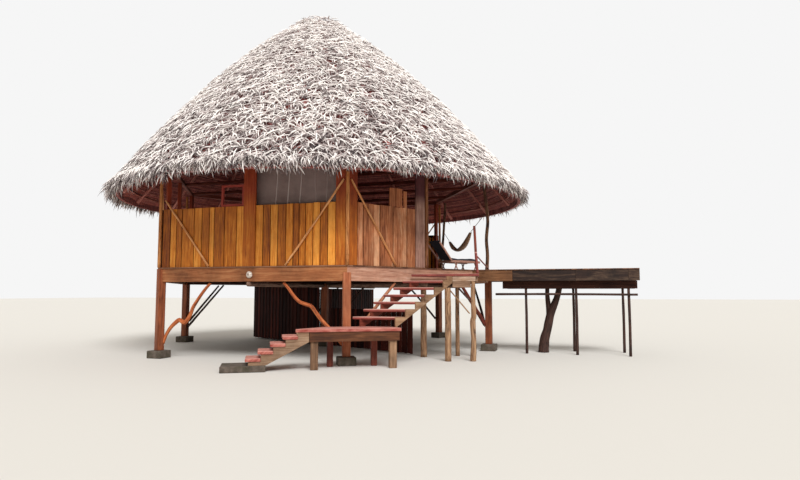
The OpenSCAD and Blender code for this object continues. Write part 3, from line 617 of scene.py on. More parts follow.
def round_hoop(loop: BMLoop) -> tuple[float, float]:
    """Grain of a ring: the way round it, and its height."""
    return 6 * math.atan2(loop.vert.co.y, loop.vert.co.x), loop.vert.co.z


def mesh_of(part: BMesh, name: str) -> Mesh:
    """Turns a bmesh into a mesh and frees it.

    Args:
        part: What is turned.
        name: The mesh's name.

    Returns:
        The mesh.
    """
    data = bpy.data.meshes.new(name)
    part.to_mesh(data)
    part.free()
    return data


def soften(part: BMesh, width: float) -> None:
    """Bevels every edge of a part by the given width."""
    bmesh.ops.bevel(
        part, geom=list(part.edges), offset=width, offset_type="OFFSET", segments=1, profile=0.5, affect="EDGES",
        material=-1, clamp_overlap=True,
    )


class Piece:
    """Gathers the parts of one piece, each with its grain and tone, and makes its object."""

    def __init__(self, name: str, finish: Finish, slot: str, seed: int = 1) -> None:
        """Starts an empty piece.

        Args:
            name: The object's name.
            finish: What it is dressed in.
            slot: The record's material slot.
            seed: Start of the piece's own random numbers.
        """
        self.name, self.finish, self.slot = name, finish, slot
        self.rng = random.Random(seed)
        self.mesh = blank()

    def take(
        self, part: BMesh, place: Matrix | None = None, tone: float | None = None, chart: Chart | None = None
    ) -> Piece:
        """Adds a part: maps its grain, marks its tone, places it and frees it.

        Args:
            part: The part's mesh in its own frame, with its length along X.
            place: Where it goes.
            tone: Its share from dark to pale, or none for a random one.
            chart: Gives a corner's place on the grain, along it and across it.

        Returns:
            The piece, as every method that adds to it does.
        """
        layer = part.verts.layers.float["tone"]
        grain = part.loops.layers.uv["grain"]
        share = self.rng.random() if tone is None else tone
        shift = self.rng.random() * 5
        for v in part.verts:
            v[layer] = share
        for face in part.faces:
            for loop in face.loops:
                co = loop.vert.co
                u, v = chart(loop) if chart else (co.x, co.y + co.z)
                loop[grain].uv = (u + shift, v + shift)
        if place is not None:
            bmesh.ops.transform(part, matrix=place, verts=part.verts)
        held = mesh_of(part, "part")
        self.mesh.from_mesh(held)
        bpy.data.meshes.remove(held)
        return self

    def board(
        self, start: Point, end: Point, width: float, depth: float, across: Point = INWARD, place: Matrix | None = None,
        ease: float = 0.004, tone: float | None = None,
    ) -> Piece:
        """Adds a sawn board with eased edges.

        Args:
            start: Middle of its first end.
            end: Middle of its other end.
            width: Its size towards across.
            depth: Its size the third way.
            across: The direction of its width.
            place: The frame that start and end are in.
            ease: Width of the bevel on its edges.
            tone: Its share from dark to pale.

        Returns:
            The piece.
        """
        a, b = Vector(start), Vector(end)
        part = block(((b - a).length, width, depth), ease and min(ease, width / 4, depth / 4))
        turn = spin_to(a, b, Vector(across))
        return self.take(part, place @ turn if place is not None else turn, tone)

    def upright(
        self, x: float, y: float, low: float, high: float, width: float, depth: float, across: Point = SIDEWAYS,
        *rest: Any,
    ) -> Piece:
        """Adds a board that stands at x and y from low to high. The rest is as in board."""
        return self.board((x, y, low), (x, y, high), width, depth, across, *rest)

    def slab(
        self, outline: Sequence[Point], thick: float, place: Matrix, ease: float = 0.004, tone: float | None = None
    ) -> Piece:
        """Adds a flat piece cut to an outline, from its plane at Z 0 up to its thickness.

        Args:
            outline: Its corners in order.
            thick: Its thickness.
            place: Where it goes.
            ease: Width of the bevel on its edges.
            tone: Its share from dark to pale.

        Returns:
            The piece.
        """
        part = blank()
        corners = [part.verts.new((p[0], p[1], 0.0)) for p in outline]
        face = part.faces.new(corners)
        if face.normal.z > 0:
            face.normal_flip()
        grown = bmesh.ops.extrude_face_region(part, geom=[face])["geom"]
        bmesh.ops.translate(part, vec=(0, 0, thick), verts=[g for g in grown if isinstance(g, BMVert)])
        bmesh.ops.recalc_face_normals(part, faces=part.faces)
        if ease:
            soften(part, ease)
        return self.take(part, place, tone)

    def pole(
        self, points: Sequence[Point], radii: Sequence[float], sides: int, rings: int, bumps: float = 0.05,
        tone: float | None = None, place: Matrix | None = None,
    ) -> Piece:
        """Adds round wood along a line, a little uneven as it grew.

        Args:
            points: The line's points.
            radii: The radius at each point.
            sides: Faces round it.
            rings: Spans along it.
            bumps: How uneven it is, as a share of its radius.
            tone: Its share from dark to pale.
            place: The frame that the points are in.

        Returns:
            The piece.
        """
        line = [Vector(p) for p in points]
        phase = self.rng.random() * 50
        length = sum((q - p).length for p, q in zip(line, line[1:]))
        part = blank()
        bmesh.ops.create_cone(part, cap_ends=True, segments=sides, radius1=1.0, radius2=1.0, depth=1.0)
        upright = [e for e in part.edges if abs(e.verts[0].co.z - e.verts[1].co.z) > 0.5]
        bmesh.ops.subdivide_edges(part, edges=upright, cuts=rings - 1)
        spots: dict[BMVert, tuple[float, float]] = {}
        mean = sum(radii) / len(radii)
        stations = rings_along(line, radii, rings)
        for v in part.verts:
            share = v.co.z + 0.5
            turn = math.atan2(v.co.y, v.co.x)
            spots[v] = (share * length, turn)
            centre, side, third, radius = stations[round(share * rings)]
            rough = 1 + bumps * (
                noise.noise((math.cos(turn) * 1.3 + phase, math.sin(turn) * 1.3, share * length * 4)) * 1.4
                + noise.noise((phase, math.cos(turn) * 0.6, share * length * 1.3)) * 0.8
            )
            v.co = centre + (math.cos(turn) * side + math.sin(turn) * third) * radius * rough

        def chart(loop: BMLoop) -> tuple[float, float]:
            """Unrolls the wood.

            Args:
                loop: A corner of one of its faces.

            Returns:
                Its place along the wood, and round it without a jump at the seam.
            """
            far, turn = spots[loop.vert]
            if any(spots[x.vert][1] < -2 for x in loop.face.loops) and turn > 2:
                turn -= ROUND
            return far, turn * mean

        bmesh.ops.recalc_face_normals(part, faces=part.faces)
        return self.take(part, place, tone, chart)

    def build(self, *nodes: str, smooth: bool = False) -> Object:
        """Makes the object, rides it on the body and lets it stand for its nodes.

        Args:
            *nodes: The CAD nodes that it stands for.
            smooth: Whether its faces are shaded smooth.

        Returns:
            The finished piece.
        """
        return settle(mesh_of(self.mesh, self.name), self.name, self.finish, self.slot, *nodes, smooth=smooth)


def settle(
    data: ID, name: str, finish: Finish, slot: str, *nodes: str, smooth: bool = False
) -> Object:
    """Turns a mesh or a curve into a piece of the part.

    Args:
        data: The mesh or curve.
        name: The piece's name.
        finish: What it is dressed in.
        slot: The record's material slot.
        *nodes: The CAD nodes that it stands for.
        smooth: Whether its faces are shaded smooth.

    Returns:
        The piece, riding on the body.
    """
    data.materials.append(dressed(finish))
    if smooth:
        data.shade_smooth()
    made = add_object(name, data)
    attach(made, "root")
    if nodes:
        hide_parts(*nodes)
    log.info("%s built", name)
    return made


def add_object(name: str, data: ID) -> Object:
    """Puts a new object into the scene.

    Args:
        name: Its name.
        data: Its mesh, curve, light or camera.

    Returns:
        The object.
    """
    made = bpy.data.objects.new(name, data)
    bpy.context.scene.collection.objects.link(made)
    return made


def thicken(made: Object, thickness: float) -> None:
    """Gives a cloth its thickness."""
    made.modifiers.new("thickness", "SOLIDIFY").thickness = thickness


def bake(made: Object) -> None:
    """Gives a piece the mesh that its modifiers make, and takes them off.

    Args:
        made: The piece.
    """
    old = made.data
    made.data = bpy.data.meshes.new_from_object(made.evaluated_get(bpy.context.evaluated_depsgraph_get()))
    made.modifiers.clear()
    bpy.data.meshes.remove(old)


def along(line: Sequence[Vector], radii: Sequence[float], share: float) -> tuple[Vector, Vector, float]:
    """Point, heading and radius at a share of a bent line, eased round its corners.

    Args:
        line: The line's points.
        radii: The radius at each point.
        share: From 0 at the first point to 1 at the last.

    Returns:
        The point, the unit heading and the radius there.
    """
    spans = len(line) - 1
    x = min(max(share, 0.0), 1.0) * spans
    i = min(int(x), spans - 1)
    f = x - i
    before, first, second, after = (line[min(max(k, 0), spans)] for k in (i - 1, i, i + 1, i + 2))
    reach = (second - first).length
    into = (second - before) * (reach / ((first - before).length + reach))
    out = (after - first) * (reach / (reach + (after - second).length))
    a, b = 1 + f * f * (2 * f - 3), f * (1 + f * (f - 2))
    c, d = f * f * (3 - 2 * f), f * f * (f - 1)
    point = a * first + b * into + c * second + d * out
    heading = 6 * (f * f - f) * (first - second) + (1 + f * (3 * f - 4)) * into + f * (3 * f - 2) * out
    return point, heading.normalized(), radii[i] + (radii[i + 1] - radii[i]) * f


def rings_along(
    line: Sequence[Vector], radii: Sequence[float], count: int
) -> list[tuple[Vector, Vector, Vector, float]]:
    """Rings of a bent pole, carried on from one to the next without a twist.

    Args:
        line: The line's points.
        radii: The radius at each point.
        count: Number of spans between rings.

    Returns:
        The centre, two directions across and the radius of each ring.
    """
    found = []
    side = Vector()
    for k in range(count + 1):
        centre, heading, radius = along(line, radii, k / count)
        if not k:
            side = heading.cross(ALONG_X if abs(heading.z) > 0.9 else UP)
        side = (side - heading * side.dot(heading)).normalized()
        found.append((centre, side, heading.cross(side), radius))
    return found


# Sub-assemblies


@dataclass(frozen=True)
class Plan:
    """The six-sided plan, its levels, and the places that the other pieces take from them."""

    radius: float = 5.5
    floor: float = 2.42
    deck: float = 0.03
    lip: float = 0.03
    rim_d: float = 0.36
    rim_t: float = 0.045
    sill: float = 4.01
    plate: float = 5.23
    stud: float = 0.11
    back: float = 0.02
    board: float = 0.03

    @property
    def apothem(self) -> float:
        """Distance of a side from the middle."""
        return self.radius * math.cos(math.pi / 6)

    @property
    def rim_top(self) -> float:
        """Height of the rim's top."""
        return self.floor - self.deck

    @property
    def rim_low(self) -> float:
        """Height of the rim's underside."""
        return self.rim_top - self.rim_d

    @property
    def inner(self) -> float:
        """Depth of the wall boards' inner face behind the rim's face."""
        return self.back + self.board

    def polar(self, degrees: float, r: float, z: float = 0.0) -> Vector:
        """Point at an angle, a radius and a height."""
        turn = math.radians(degrees)
        return Vector((r * math.cos(turn), r * math.sin(turn), z))

    def corner(self, i: Corner, r: float, z: float = 0.0) -> Vector:
        """Point towards a corner at a radius and a height."""
        return self.polar(60 * i.value, r, z)

    def side(self, i: Corner) -> Matrix:
        """Frame of a side: X from its corner to the next, Y inward from the rim's face."""
        return Matrix.Translation(self.corner(i, self.radius)) @ turned(60 * i.value + 120)

    def beside(self, i: Corner, u: float, b: float, z: float) -> Vector:
        """Point at a side: u along it, b inward from the rim's face, at height z."""
        return self.side(i) @ Vector((u, b, z))

    def partition(self) -> tuple[Matrix, float]:
        """Frame of the wall between room and veranda, and its length."""
        r = self.apothem - 0.13
        start, end = self.polar(330, r), self.polar(90, r)
        return Matrix.Translation(start) @ turned(120), (end - start).length


PLAN = Plan()
HIDDEN_SIDES = {Corner.BACK_RIGHT: "back_wall", Corner.BACK: "back_left_wall", Corner.LEFT: "left_wall"}


@dataclass
class Underfloor:
    """What stands under the floor: footings, posts, bearers, joists, braces and the store."""

    plan: Plan = PLAN
    post: float = 0.195
    footing: float = 0.44
    footing_h: float = 0.2
    stair_pad: tuple[float, float] = (0.98, 0.76)
    corner_r: float = 5.43
    front_r: float = 5.42
    front_top: float = 2.24
    bearer_w: float = 0.11
    bearer_d: float = 0.21
    joist_w: float = 0.05
    joist_pitch: float = 0.6
    pole_r: float = 0.065
    store_board: float = 0.115
    store_out: float = 0.08

    def spots(self) -> list[tuple[Vector, float, float]]:
        """Place, turn and top of each square post."""
        plan = self.plan
        found = [(plan.corner(i, self.corner_r), 60.0 * i.value, plan.rim_top - 0.001) for i in list(Corner)[:5]]
        return [*found, (plan.corner(Corner.FRONT, self.front_r), 300.0, self.front_top), (Vector(), 0.0, plan.rim_low)]

    def build(self) -> None:
        """Builds every piece under the floor."""
        self.footings()
        self.posts()
        self.frame()
        self.braces()
        self.store()

    def footings(self) -> None:
        """Concrete blocks with broken edges, and the pad before the stair."""
        piece = Piece("footings_cast", CONCRETE, "concrete", 3)
        size = (self.footing, self.footing, self.footing_h)
        blocks = [(p, turn * (k != Corner.FRONT_LEFT.value), size) for k, (p, turn, _) in enumerate(self.spots())]
        stair = Landing()
        blocks.append((stair.place @ Vector((-2.4, -stair.front + 0.36, 0)), 30.0, (*self.stair_pad, stair.pad)))
        for p, turn, size in blocks:
            part = block(size, 0.012)
            long = [e for e in part.edges if e.calc_length() > 0.15]
            bmesh.ops.subdivide_edges(part, edges=long, cuts=4, use_grid_fill=True)
            for v in part.verts:
                v.co *= 1 + 0.012 * noise.noise(v.co * 9 + p)
                v.co.z = max(v.co.z, -size[2] / 2)
            piece.take(part, moved(p.x, p.y, size[2] / 2) @ turned(turn))
        piece.build("footings")

    def posts(self) -> None:
        """Square posts, stained red-brown."""
        piece = Piece("posts_square", POST_TIMBER, "red_brown_timber", 5)
        for p, turn, top in self.spots():
            tone = 0.75 if p.y < -1 and p.x > 0 else 0.35
            place = Matrix.Translation(p) @ turned(turn)
            piece.upright(0, 0, self.footing_h, top, self.post, self.post, INWARD, place, 0.012, tone)
        piece.build("floor_posts")

    def frame(self) -> None:
        """Bearers on the posts, joists on the bearers, and the round poles under the sides."""
        plan = self.plan
        piece = Piece("bearers_sawn", DARK_TIMBER, "dark_timber", 7)
        z = plan.rim_low + self.bearer_d / 2
        for i in Corner:
            end = (self.front_r if i is Corner.FRONT else self.corner_r) - self.post / 2
            across = plan.polar(60 * i.value + 90, 1)
            piece.board(plan.corner(i, 0.05, z), plan.corner(i, end, z), self.bearer_w, self.bearer_d, across)
        piece.build("floor_bearers")
        piece = Piece("joists_sawn", DARK_TIMBER, "dark_timber", 8)
        depth = plan.rim_d - self.bearer_d
        z = plan.rim_top - depth / 2
        for k in range(-7, 8):
            y = self.joist_pitch * k
            half = (plan.apothem - plan.rim_t - (abs(y) + self.joist_w / 2) / 2) / math.cos(math.pi / 6)
            half = half if k else self.corner_r - self.post / 2
            piece.board((-half, y, z), (half, y, z), self.joist_w, depth)
        piece.build("floor_joists")
        piece = Piece("floor_poles_round", FLOOR_POLE, "peeled_pole", 9)
        z = plan.rim_low - self.pole_r
        for turn in (270, 330, 30, 90):
            ends = [plan.polar(turn, 0.19, z), plan.polar(turn, plan.apothem - 0.012, z)]
            piece.pole(ends, [self.pole_r - 0.004, self.pole_r - 0.003], 12, 10, 0.03)
        piece.build("floor_poles", smooth=True)

    def braces(self) -> None:
        """Crooked branches at the front, and plain poles at the other corners.

        A branch is a row of points: the way along the side from its corner, height, depth behind the rim, radius.
        """
        plan = self.plan
        side = plan.radius
        left = [
            (0.135, 0.38, 0.1, 0.036), (0.2, 0.6, 0.118, 0.042), (0.32, 0.78, 0.112, 0.048),
            (0.481, 0.929, 0.11, 0.054), (0.624, 1.015, 0.105, 0.056), (0.772, 0.948, 0.102, 0.054),
            (0.879, 1.027, 0.1, 0.05), (0.972, 1.167, 0.098, 0.05), (1.043, 1.342, 0.095, 0.048),
            (1.191, 1.557, 0.09, 0.044), (1.402, 1.82, 0.085, 0.04), (1.58, 2.0, 0.08, 0.034),
        ]
        right = [
            (0.15, 0.47, 0.12, 0.044), (0.417, 0.772, 0.13, 0.046), (0.604, 0.958, 0.11, 0.048),
            (0.725, 1.079, 0.1, 0.048), (0.857, 1.246, 0.09, 0.046), (0.991, 1.405, 0.08, 0.048),
            (1.128, 1.451, 0.08, 0.05), (1.3, 1.512, 0.08, 0.046), (1.476, 1.661, 0.08, 0.042),
            (1.636, 1.864, 0.08, 0.038), (1.765, 2.0, 0.08, 0.034),
        ]
        veranda = [
            (0.16, 0.55, 0.12, 0.044), (0.62, 1.0, 0.11, 0.042), (1.021, 1.394, 0.1, 0.04), (1.181, 1.55, 0.096, 0.042),
            (1.369, 1.734, 0.09, 0.038), (1.526, 1.885, 0.084, 0.036), (1.648, 2.0, 0.08, 0.032),
        ]
        walk = [
            (0.14, 0.78, 0.13, 0.056), (0.42, 1.11, 0.13, 0.06), (0.57, 1.25, 0.115, 0.058), (0.67, 1.37, 0.108, 0.056),
            (0.86, 1.56, 0.104, 0.05), (1.06, 1.78, 0.098, 0.046), (1.25, 1.99, 0.092, 0.04),
        ]
        crooked = (Corner.FRONT_LEFT, left, True), (Corner.FRONT_LEFT, right, False)
        for name, finish, nodes, runs in (
            ("braces_crooked", STAINED_BRANCH, ["post_braces"], crooked),
            ("brace_veranda", PALE_BRANCH, [], ((Corner.FRONT, veranda, True),)),
            ("brace_walkway", RED_BRANCH, [], ((Corner.FRONT, walk, False),)),
        ):
            piece = Piece(name, finish, "red_branch", 11)
            for i, steps, first in runs:
                points = [plan.beside(i, u if first else side - u, b, z) for u, z, b, _ in steps]
                piece.pole(points, [s[3] for s in steps], 12, 44, 0.09, 0.6)
            piece.build(*nodes, smooth=True)
        piece = Piece("braces_plain", DARK_BRANCH, "red_branch", 12)
        head = plan.rim_low - 0.034
        ends = [(i, 0) for i in (Corner.WALK, Corner.BACK_RIGHT, Corner.BACK)]
        ends += [(i, side) for i in (Corner.BACK_RIGHT, Corner.BACK)]
        lines = [
            (plan.beside(i, abs(end - 0.15), 0.13, 0.73), plan.beside(i, abs(end - 1.26), 0.1, head)) for i, end in ends
        ]
        lines.append((Vector((0.09 - self.corner_r, 0, 0.51)), Vector((1.54 - self.corner_r, 0, head))))
        lines.append((Vector((0.09, 0, 0.46)), Vector((1.44, 0, head))))
        for low, high in lines:
            middle = low.lerp(high, 0.5) + Vector((0.01, 0, 0.012))
            piece.pole([low, middle, high], [0.04, 0.036, 0.032], 10, 14, 0.1)
        piece.build(smooth=True)

    def store(self) -> None:
        """Narrow upright boards round the store, and the low wall."""
        plan = self.plan
        foot, high_top, low_top, thick = 0.04, plan.rim_low - 0.01, plan.rim_low - 2 * self.pole_r - 0.02, 0.03
        out = plan.apothem - self.store_out
        back = plan.corner(Corner.BACK, plan.radius - 0.74)
        left, right = plan.polar(150, out), plan.polar(90, out)
        walls = [
            (plan.polar(150, 0.32), left, high_top), (right, plan.polar(90, 0.32), low_top),
            (left + plan.polar(110, 0.06), back + plan.polar(240, 0.04), high_top),
            (back + plan.polar(0, 0.04), right + plan.polar(130, 0.06), low_top),
            (plan.polar(330, 0.34), plan.polar(330, plan.apothem - 0.56), foot + 1.2),
        ]
        piece = Piece("store_boards_upright", STORE_BOARDS, "dark_timber", 13)
        for start, end, high in walls:
            run = end - start
            count = round(run.length / self.store_board)
            step = run / count
            for k in range(count):
                shift = run.cross(UP).normalized() * (0.005 if k % 2 else -0.005)
                spot = start + step * (k + 0.5) + shift
                low = foot + piece.rng.uniform(0, 0.02)
                piece.board(spot + UP * low, spot + UP * high, step.length - 0.004, thick - 0.012, run, ease=0.003)
        piece.build("store_walls")


@dataclass
class Floor:
    """The rim boards and the floor boards."""

    plan: Plan = PLAN
    plank: float = 0.16
    gap: float = 0.003

    def build(self) -> None:
        """Builds the rim and the floor."""
        plan = self.plan
        pieces = {f: Piece(f"rim_{f.title}", f, "red_brown_timber", 21) for f in (RIM_TIMBER, PINK_RIM)}
        mitre, butt = (0.0, plan.rim_t / math.tan(math.radians(60))), (0.1132, 0.1391)
        for i in Corner:
            start = mitre if i is Corner.FRONT else butt
            end = mitre if i is Corner.FRONT_LEFT else butt
            face, inside = plan.radius - end[0], plan.radius - end[1]
            outline = [(start[0], 0), (face, 0), (inside, plan.rim_t), (start[1], plan.rim_t)]
            piece = pieces[PINK_RIM if i is Corner.FRONT else RIM_TIMBER]
            piece.slab(outline, plan.rim_d, plan.side(i) @ moved(0, 0, plan.rim_low), 0.004, 0.5)
        pieces[RIM_TIMBER].build("rim_boards")
        pieces[PINK_RIM].build()
        piece = Piece("floor_planks", FLOOR_BOARDS, "floor_board", 22)
        reach = plan.apothem + plan.lip
        count = round(2 * reach / self.plank)
        step = 2 * reach / count
        for k in range(count):
            y0, y1 = -reach + k * step + self.gap / 2, -reach + (k + 1) * step - self.gap / 2
            a, b = ((reach - abs(y) / 2) / math.cos(math.pi / 6) for y in (y0, y1))
            piece.slab([(-a, y0), (a, y0), (b, y1), (-b, y1)], plan.deck, moved(0, 0, plan.rim_top), 0.003)
        piece.build("floor_deck")


@dataclass
class Walls:
    """Board walls with their posts, rails, plates, tall boards and the poles on their faces."""

    plan: Plan = PLAN
    edge: float = 0.058
    corner_board: float = 0.27
    pilaster: float = 0.35
    pilaster_t: float = 0.036
    door: float = 0.95
    rail: float = 0.08
    beams: tuple[float, ...] = (-3.4, -1.7, 0.0, 1.7, 3.4)

    def build(self) -> None:
        """Builds the walls and what holds them."""
        self.claddings()
        self.frame()
        self.tall()
        self.poles()
        self.window()
        self.curtain()

    def clad(
        self, piece: Piece, splines: Piece, place: Matrix, seams: Sequence[float], tones: Sequence[float] | None = None,
        gap: float = 0.02, fine: Sequence[float] = (), middle: float = PLAN.back + PLAN.board / 2,
    ) -> None:
        """Adds upright boards between seams, each seam closed by a spline let into the boards, dark as painted shade in
        the seam.

        Args:
            piece: The wall that they belong to.
            splines: The piece that the splines go to.
            place: The frame of its side.
            seams: Where one board ends and the next begins, along X.
            tones: Their shares from dark to pale, or none for random ones.
            gap: How wide the seams are.
            fine: The seams that are nearly closed.
            middle: Where the middle of their thickness lies, along Y.
        """
        floor, sill = self.plan.floor, self.plan.sill
        # Dark splines behind the open seams: painted shade in the gaps.
        for u in seams:
            if u not in fine:
                splines.upright(u, middle + 0.0115, floor + 0.004, sill - 0.03, 0.05, 0.006, SIDEWAYS, place, 0.0, 0.0)
        for k, (u0, u1) in enumerate(zip(seams, seams[1:])):
            if u1 - u0 < 0.03:
                continue
            y = middle + piece.rng.uniform(-0.0025, 0.0025)
            top = sill - piece.rng.uniform(0, 0.012)
            u0 += 0.002 if u0 in fine else gap / 2
            u1 -= 0.002 if u1 in fine else gap / 2
            tone = tones[k] if tones else None
            u, deep = (u0 + u1) / 2, self.plan.board - 0.006
            piece.upright(u, y, floor + 0.002, top, u1 - u0, deep, SIDEWAYS, place, 0.004, tone)

    def random_seams(self, start: float, end: float, seed: int) -> list[float]:
        """Seams between boards of uneven widths, of about 0.18 to 0.4 m.

        Args:
            start: The first seam.
            end: The last one.
            seed: Start of the random numbers.

        Returns:
            The seams from start to end.
        """
        rng = random.Random(seed)
        widths = []
        while sum(widths) < end - start:
            widths.append(rng.uniform(0.18, 0.4))
        scale = (end - start) / sum(widths)
        seams = [start]
        for width in widths:
            seams.append(seams[-1] + width * scale)
        return seams

    def claddings(self) -> None:
        """The six walls. The two in the photo keep its seams, the others get seams of random widths."""
        plan = self.plan
        side = plan.radius
        # The splines are dark timber: painted shade in the seams.
        splines = Piece("wall_splines", DARK_TIMBER, "wall_board", 30)
        left = [self.edge, 0.308, 0.5, 0.677, 1.06, 1.3, 1.532, 1.681, 1.995, 2.36, side / 2 - self.pilaster / 2]
        right = [3.14, 3.355, 3.564, 3.794, 4.0, 4.169, 4.347, 4.551, 4.753, 4.96, side - self.edge - self.corner_board]
        right.insert(0, side / 2 + self.pilaster / 2)
        place = plan.side(Corner.FRONT_LEFT)
        piece = Piece("front_cladding", WALL_BOARDS, "wall_board", 31)
        self.clad(piece, splines, place, left, [0.1, 0.7, 0.35, 0.5, 0.75, 0.4, 0.9, 0.3, 0.45, 0.85])
        self.clad(piece, splines, place, right, [0.75, 0.25, 0.85, 0.3, 0.65, 0.2, 0.45, 0.7, 0.9, 0.35, 0.95])
        piece.build("front_wall")
        piece = Piece("right_cladding", RIGHT_BOARDS, "wall_board", 32)
        seams = [self.edge + self.corner_board, 0.52, 0.7, 0.87, 1.075, 1.28, 1.53, 1.78, 2.03, side / 2 - 0.4]
        tones = [0.6, 0.35, 0.45, 0.8, 0.35, 0.5, 0.5, 0.7, 0.5]
        self.clad(piece, splines, plan.side(Corner.FRONT), seams, tones, 0.028, [0.7, 0.87, 1.28, 1.78])
        piece.build("right_wall")
        for i, node in reversed(HIDDEN_SIDES.items()):
            piece = Piece(node.replace("wall", "cladding"), WALL_BOARDS, "wall_board", 33 + i.value)
            self.clad(piece, splines, plan.side(i), self.random_seams(self.edge, side - self.edge, 40 + i.value))
            piece.build(node)
        place, length = plan.partition()
        # The veranda wall is dark as painted shade under the roof.
        piece = Piece("veranda_cladding", SHADED_BOARD, "wall_board", 39)
        door = self.door / 2 + plan.stud
        for start, end in ((0.15, length / 2 - door), (length / 2 + door, length - 0.15)):
            self.clad(piece, splines, place, self.random_seams(start, end, 50 + int(start)), middle=0.0)
        piece.build("veranda_wall")
        splines.build()

    def frame(self) -> None:
        """Rails, posts, and the plates with the tie beams across the room."""
        plan = self.plan
        half = plan.radius / 2
        piece = Piece("rails_sawn", DARK_TIMBER, "dark_timber", 51)
        y, short = plan.inner + 0.03, half - 0.17
        for z in (plan.floor + self.rail / 2, plan.sill - 0.086 + self.rail / 2):
            for i in (Corner.BACK_RIGHT, Corner.BACK, Corner.LEFT, Corner.FRONT_LEFT):
                for u in (0.23, half + 0.07):
                    piece.board((u, y, z), (u + half - 0.3, y, z), 0.06, self.rail, place=plan.side(i))
            piece.board((0.23, y, z), (short, y, z), 0.06, self.rail, place=plan.side(Corner.FRONT))
        piece.build("wall_rails")
        piece = Piece("wall_posts_square", RED_BOARDS, "dark_timber", 52)
        walled = [i for i in Corner if i is not Corner.WALK]
        spots = [(plan.corner(i, plan.radius - 0.2), 60.0 * i.value) for i in walled]
        mid_r = plan.apothem - plan.inner - plan.stud / 2
        spots += [(plan.polar(60 * i.value + 30, mid_r), 60.0 * i.value + 30) for i in walled]
        place, length = plan.partition()
        spots += [(place @ Vector((length / 2 + way * (self.door + plan.stud) / 2, 0, 0)), 120.0) for way in (-1, 1)]
        for p, turn in spots:
            place = Matrix.Translation(p) @ turned(turn)
            piece.upright(0, 0, plan.floor, plan.plate, plan.stud, plan.stud, INWARD, place, 0.005, 0.4)
        piece.build("wall_posts")
        piece = Piece("plates_sawn", BEAM_TIMBER, "dark_timber", 53)
        out, wide = plan.radius - 0.09, 0.12
        slope = wide / math.tan(math.radians(60))
        for i in Corner:
            place = Matrix.Translation(plan.corner(i, out, plan.plate)) @ turned(60 * i.value + 120)
            piece.slab([(0, 0), (out, 0), (out - slope, wide), (slope, wide)], wide, place, 0.005)
        inside, z = (out - wide / math.cos(math.pi / 6)) * math.cos(math.pi / 6), plan.plate + 0.06
        for y in self.beams:
            reach = (inside - abs(y) / 2) / math.cos(math.pi / 6) + 0.04
            piece.pole([(-reach, y, z), (reach, y, z)], [0.056, 0.053], 10, 14, 0.04)
        piece.build("wall_plates")

    def tall(self) -> None:
        """Boards that pass the sill, brown below and red above, the red partly painted shade under the eave, and the
        weathered one at the wall's end, with painted shade at its head.
        """
        plan = self.plan
        front, right = plan.side(Corner.FRONT_LEFT), plan.side(Corner.FRONT)
        middle, corner_u, wide = plan.radius / 2, self.edge + self.corner_board / 2, self.corner_board - 0.006
        piece = Piece("tall_boards_sawn", TALL_BOARDS, "red_board", 61)
        for place, u, width, b, tone in (
            (front, middle, self.pilaster, plan.inner - self.pilaster_t - 0.024, 0.5),
            (front, plan.radius - corner_u, wide, plan.back, 0.65),
            (right, corner_u, wide, plan.back, 0.35),
        ):
            deep = plan.inner - b
            piece.upright(u, (b + plan.inner) / 2, plan.floor, plan.plate, width, deep, SIDEWAYS, place, 0.005, tone)
        piece.build("tall_boards")
        piece = Piece("short_boards", RIGHT_BOARDS, "red_board", 63)
        for u, wide, tall in ((1.407, 0.203, 0.49), (1.636, 0.218, 0.505), (1.9, 0.125, 0.45)):
            foot = Vector((u + wide / 2, plan.back + 0.015, plan.sill))
            piece.board(foot, foot + UP * tall, wide, 0.028, SIDEWAYS, right, 0.004, 0.4)
        piece.build()
        u, deep = middle - 0.4 + 0.165, self.pilaster_t + 0.02
        piece = Piece("wall_end_board", GREY_BOARD, "red_board", 62)
        piece.upright(u, plan.inner - deep / 2, plan.floor, plan.plate, 0.33, deep, SIDEWAYS, right, 0.005, 0.5).build()

    def poles(self) -> None:
        """Natural poles at the corners and thin diagonal ones on the faces."""
        plan = self.plan
        side, r = plan.radius, plan.radius + 0.002
        piece = Piece("corner_poles", CORNER_POLE, "peeled_pole", 71)
        for i in list(Corner)[1:]:
            steps = (r, plan.floor), (r + 0.006, 3.7), (r, plan.plate - 0.02)
            points = [plan.corner(i, *step) for step in steps]
            piece.pole(points, [0.046, 0.044, 0.04], 12, 16, 0.06)
        piece.build("face_poles", smooth=True)
        u, b = side / 2 - 0.012, plan.back - 0.026
        points = [(u, b, plan.floor), (side / 2 - 0.004, b - 0.004, 3.4), (u, b, plan.plate)]
        piece = Piece("wall_end_pole", WALL_END_POLE, "peeled_pole", 73)
        piece.pole(points, [0.052, 0.049, 0.046], 12, 18, 0.08, 0.3, plan.side(Corner.FRONT)).build(smooth=True)
        piece = Piece("face_braces", LIGHT_POLE, "peeled_pole", 72)
        runs = [
            (Corner.FRONT_LEFT, 1.56, 0.15, 4.25), (Corner.FRONT_LEFT, side - 1.69, side - 0.1, 4.56),
            (Corner.FRONT, 1.61, 0.1, 4.56),
        ]
        for i in HIDDEN_SIDES:
            runs += [(i, 1.6, 0.12, 4.56), (i, side - 1.6, side - 0.12, 4.56)]
        for i, u0, u1, z1 in runs:
            bow = plan.beside(i, (u0 + u1) / 2 + 0.015, -0.007, (plan.floor + z1) / 2)
            points = [plan.beside(i, u0, -0.006, plan.floor + 0.014), bow, plan.beside(i, u1, -0.006, z1)]
            piece.pole(points, [0.029, 0.027, 0.025], 10, 16, 0.09, 0.6)
        piece.build(smooth=True)

